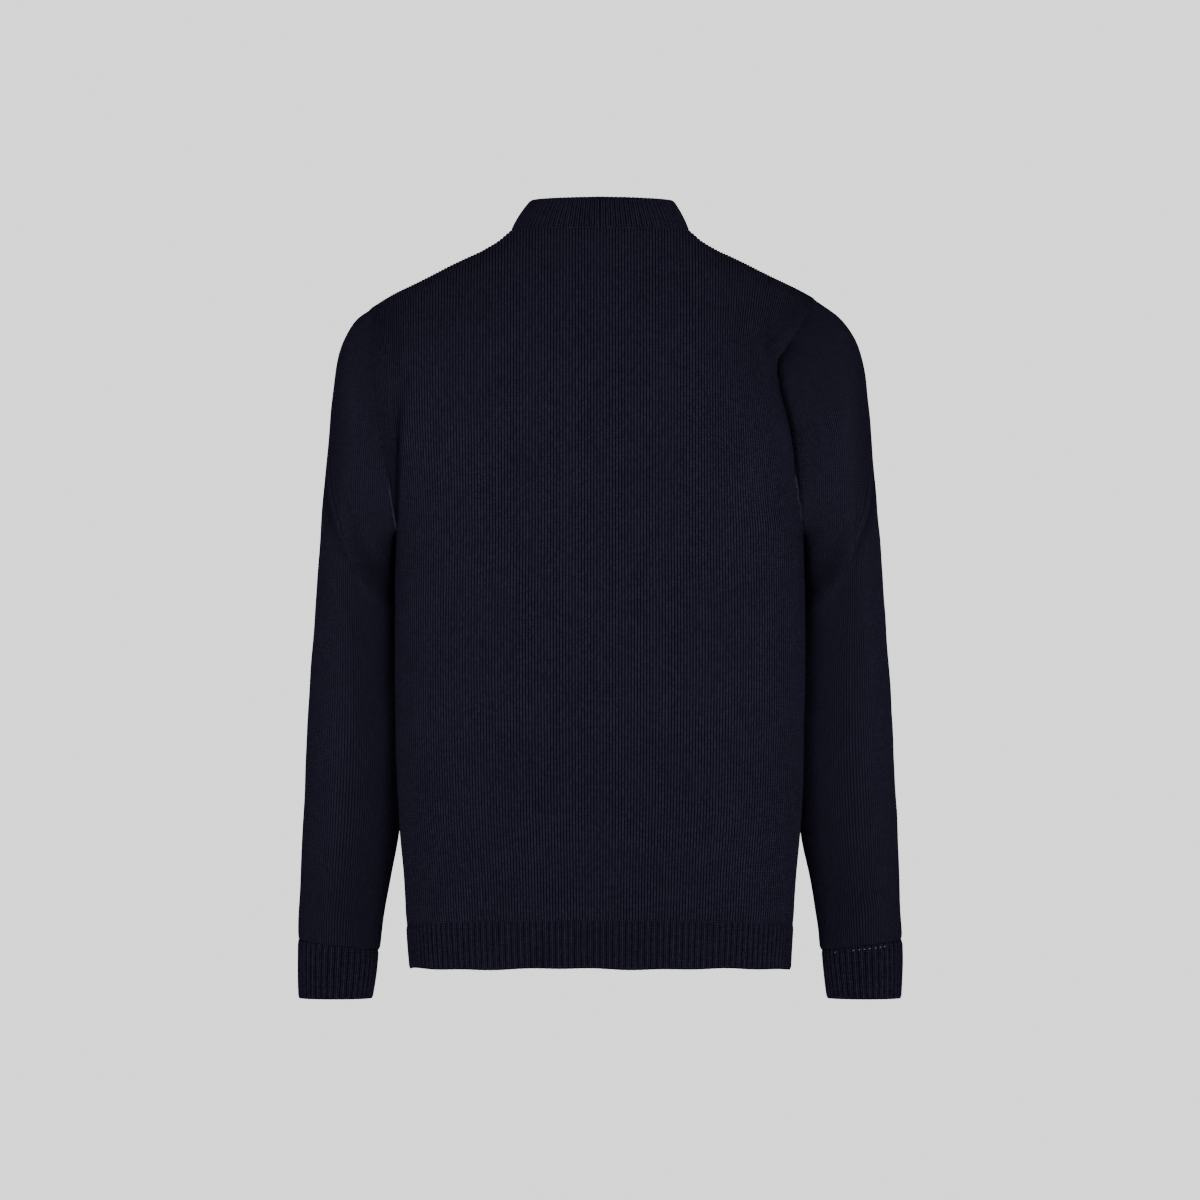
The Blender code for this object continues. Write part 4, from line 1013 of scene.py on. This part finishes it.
def knit_material(name):
    """Wool yarn in V-shaped stitches, from the wale and course of each point; its colour has a
    painted highlight on the stitches' legs and painted shade in the gutters between the wales. In
    a rib of several wales, the last one lies back as a furrow and gets painted shade."""
    dark, light, wales_in_rib = YARNS[name]
    n = Nodes(name)
    uv = n.add("ShaderNodeUVMap", uv_map="knit")
    place = n.add("ShaderNodeSeparateXYZ")
    n.link(uv.outputs[0], place.inputs[0])
    wale, course = place.outputs[0], place.outputs[1]
    across = n.math("FRACT", wale)
    from_middle = n.math("MULTIPLY", n.math("ABSOLUTE", n.math("SUBTRACT", across, 0.5)), 2.0)
    slanted = n.math("ADD", course, n.math("MULTIPLY", from_middle, 0.9))
    yarn = n.math("SINE", n.math("MULTIPLY", n.math("FRACT", slanted), math.pi))
    beside = n.math("ABSOLUTE", n.math("SUBTRACT", from_middle, 0.5))
    leg = n.math("SUBTRACT", 1.0, n.math("MULTIPLY", n.math("POWER", beside, 2.0), 3.4))
    stitch = n.math("MULTIPLY", yarn, leg, clamp=True)
    gutter = n.math("POWER", from_middle, 2.2)
    cell = n.add("ShaderNodeCombineXYZ")
    n.link(n.math("FLOOR", wale), cell.inputs[0])
    n.link(n.math("FLOOR", slanted), cell.inputs[1])
    grain = n.add("ShaderNodeTexWhiteNoise", noise_dimensions="2D")
    n.link(cell.outputs[0], grain.inputs["Vector"])
    fuzz = n.noise(1900.0, 3.0, 0.7)
    mottled = n.math("SUBTRACT", n.noise(420.0, 2.0, 0.6), 0.5)
    cloudy = n.math("SUBTRACT", n.noise(22.0, 4.0, 0.55), 0.5)
    uneven = n.math("SUBTRACT", grain.outputs["Value"], 0.5)
    height = n.total(stitch, (fuzz, 0.35), (gutter, -0.8))
    n.feed("Normal", n.bump(height, 0.9, 0.0007))
    # painted highlight on the stitches' legs and painted shade in the gutters, over random tone
    # from fuzz, mottling and uneven stitches
    tone_and_painted_shade = n.total(n.math("MULTIPLY", stitch, 0.60), (fuzz, 0.30), (mottled, 0.08),
                    (cloudy, 0.10), (uneven, 0.18), (gutter, -1.1))
    # painted shade darkens the furrow wale of each rib
    if wales_in_rib:
        rib = n.math("FRACT", n.math("DIVIDE", wale, float(wales_in_rib)))
        furrow = n.math("ABSOLUTE", n.math("SUBTRACT", rib, 0.5))
        furrow = n.math("POWER", n.math("MULTIPLY", furrow, 2.0), 4.0)
        tone_and_painted_shade = n.total(tone_and_painted_shade, (furrow, -0.6))
    n.feed("Base Color", n.ramp(tone_and_painted_shade, ((0.0, dark), (0.75, light))))
    fill(n.shader, {"Roughness": 0.95, "Specular IOR Level": 0.0, "Sheen Weight": SHEEN,
                    "Sheen Roughness": SHEEN_ROUGHNESS, "Sheen Tint": SHEEN_TINT})
    return n.material


def woven_material(name):
    """Zip tape: a fine diagonal weave."""
    n = Nodes(name)
    uv = n.add("ShaderNodeUVMap", uv_map="knit")
    weave = n.add("ShaderNodeTexWave", wave_type="BANDS", bands_direction="DIAGONAL")
    fill(weave, {"Scale": 1.0})
    n.link(uv.outputs[0], weave.inputs["Vector"])
    threads = weave.outputs["Fac"]
    n.feed("Normal", n.bump(threads, 0.6, 0.0003))
    stops = ((0.0, (0.004, 0.004, 0.008)), (1.0, (0.010, 0.010, 0.019)))
    n.feed("Base Color", n.ramp(threads, stops))
    fill(n.shader, {"Roughness": 0.8, "Sheen Weight": 0.1})
    return n.material


def painted_light_material(name):
    """Pale grey flecked by noise: painted light for the specks at the eyelets over the right cuff.
    """
    n = Nodes(name)
    stops = ((0.3, (0.10, 0.10, 0.14)), (0.7, (0.26, 0.26, 0.32)))
    n.feed("Base Color", n.ramp(n.noise(1900.0, 3.0, 0.7), stops))
    fill(n.shader, {"Roughness": 0.95})
    return n.material


def metal_material(name):
    """Dark plated zinc, brushed and a little worn."""
    n = Nodes(name)
    wear = n.noise(900.0, 4.0, 0.6)
    grain = n.noise(5200.0, 2.0, 0.5)
    stops = ((0.35, (0.028, 0.028, 0.031)), (0.75, (0.075, 0.074, 0.076)))
    n.feed("Base Color", n.ramp(wear, stops))
    n.feed("Normal", n.bump(grain, 0.15, 0.0002))
    roughness = n.add("ShaderNodeMapRange")
    fill(roughness, {"To Min": 0.28, "To Max": 0.46})
    n.link(wear, roughness.inputs["Value"])
    n.feed("Roughness", roughness.outputs[0])
    fill(n.shader, {"Metallic": 1.0})
    return n.material


def floor_material():
    n = Nodes("studio_floor")
    fill(n.shader, {"Base Color": (0.86, 0.86, 0.86, 1.0), "Roughness": 0.9})
    return n.material


# ---- studio
def make_camera():
    """Level with the middle of the garment's back, far away with a long lens."""
    data = bpy.data.cameras.new("camera")
    data.lens = LENS
    data.sensor_width = 36.0
    data.clip_end = 60.0
    camera = add_object("camera", data)
    camera.location = (0, CAMERA_Y, CAMERA_Z)
    camera.rotation_euler = (math.radians(90), 0, math.radians(180))
    bpy.context.scene.camera = camera


def make_light(name, place, aim, size, power):
    data = bpy.data.lights.new(name, "AREA")
    data.shape = "RECTANGLE"
    data.size, data.size_y = size
    data.energy = power
    light = add_object(name, data)
    light.location = place
    light.rotation_euler = (Vector(aim) - Vector(place)).to_track_quat("-Z", "Y").to_euler()


def make_studio():
    for light in LIGHTS:
        make_light(*light)
    world = bpy.data.worlds.new("studio")
    bpy.context.scene.world = world
    world.use_nodes = True
    tree = world.node_tree
    direction = tree.nodes.new("ShaderNodeTexCoord")
    parts = tree.nodes.new("ShaderNodeSeparateXYZ")
    rise = tree.nodes.new("ShaderNodeMath")
    rise.operation = "ABSOLUTE"
    fall = tree.nodes.new("ShaderNodeMapRange")
    fall.interpolation_type = "SMOOTHSTEP"
    fill(fall, {"From Min": LEVEL_TO, "From Max": OVERHEAD_FROM,
                "To Min": BACKGROUND, "To Max": OVERHEAD})
    tree.links.new(direction.outputs["Generated"], parts.inputs[0])
    tree.links.new(parts.outputs["Z"], rise.inputs[0])
    tree.links.new(rise.outputs[0], fall.inputs["Value"])
    background = tree.nodes["Background"]
    fill(background, {"Color": (1.0, 1.0, 1.0, 1.0)})
    tree.links.new(fall.outputs[0], background.inputs["Strength"])
    bpy.ops.mesh.primitive_circle_add(vertices=96, radius=FLOOR_RADIUS, fill_type="NGON",
                                      location=(0, 0, FLOOR_Z))
    floor = bpy.context.object
    floor.name = "studio_floor"
    floor.data.materials.append(floor_material())


# ---- everything
def main():
    make_camera()
    make_studio()
    knit = knit_material("navy_knit")
    sleeve_knit = knit_material("navy_sleeve_knit")
    rib = knit_material("navy_rib")
    collar_rib = knit_material("navy_collar_rib")
    woven = woven_material("navy_tape")
    metal = metal_material("plated_metal")
    make_back(knit)
    make_fronts(knit)
    make_sleeves(sleeve_knit)
    make_hem(rib)
    make_cuffs(rib)
    # pale specks of painted light at the eyelets over the right cuff
    make_eyelets(painted_light_material("painted_light_specks"))
    make_collar(collar_rib)
    make_tapes(woven)
    make_teeth(metal)
    for node in METAL_NODES:
        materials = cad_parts[node].data.materials
        materials.clear()
        materials.append(metal)


main()
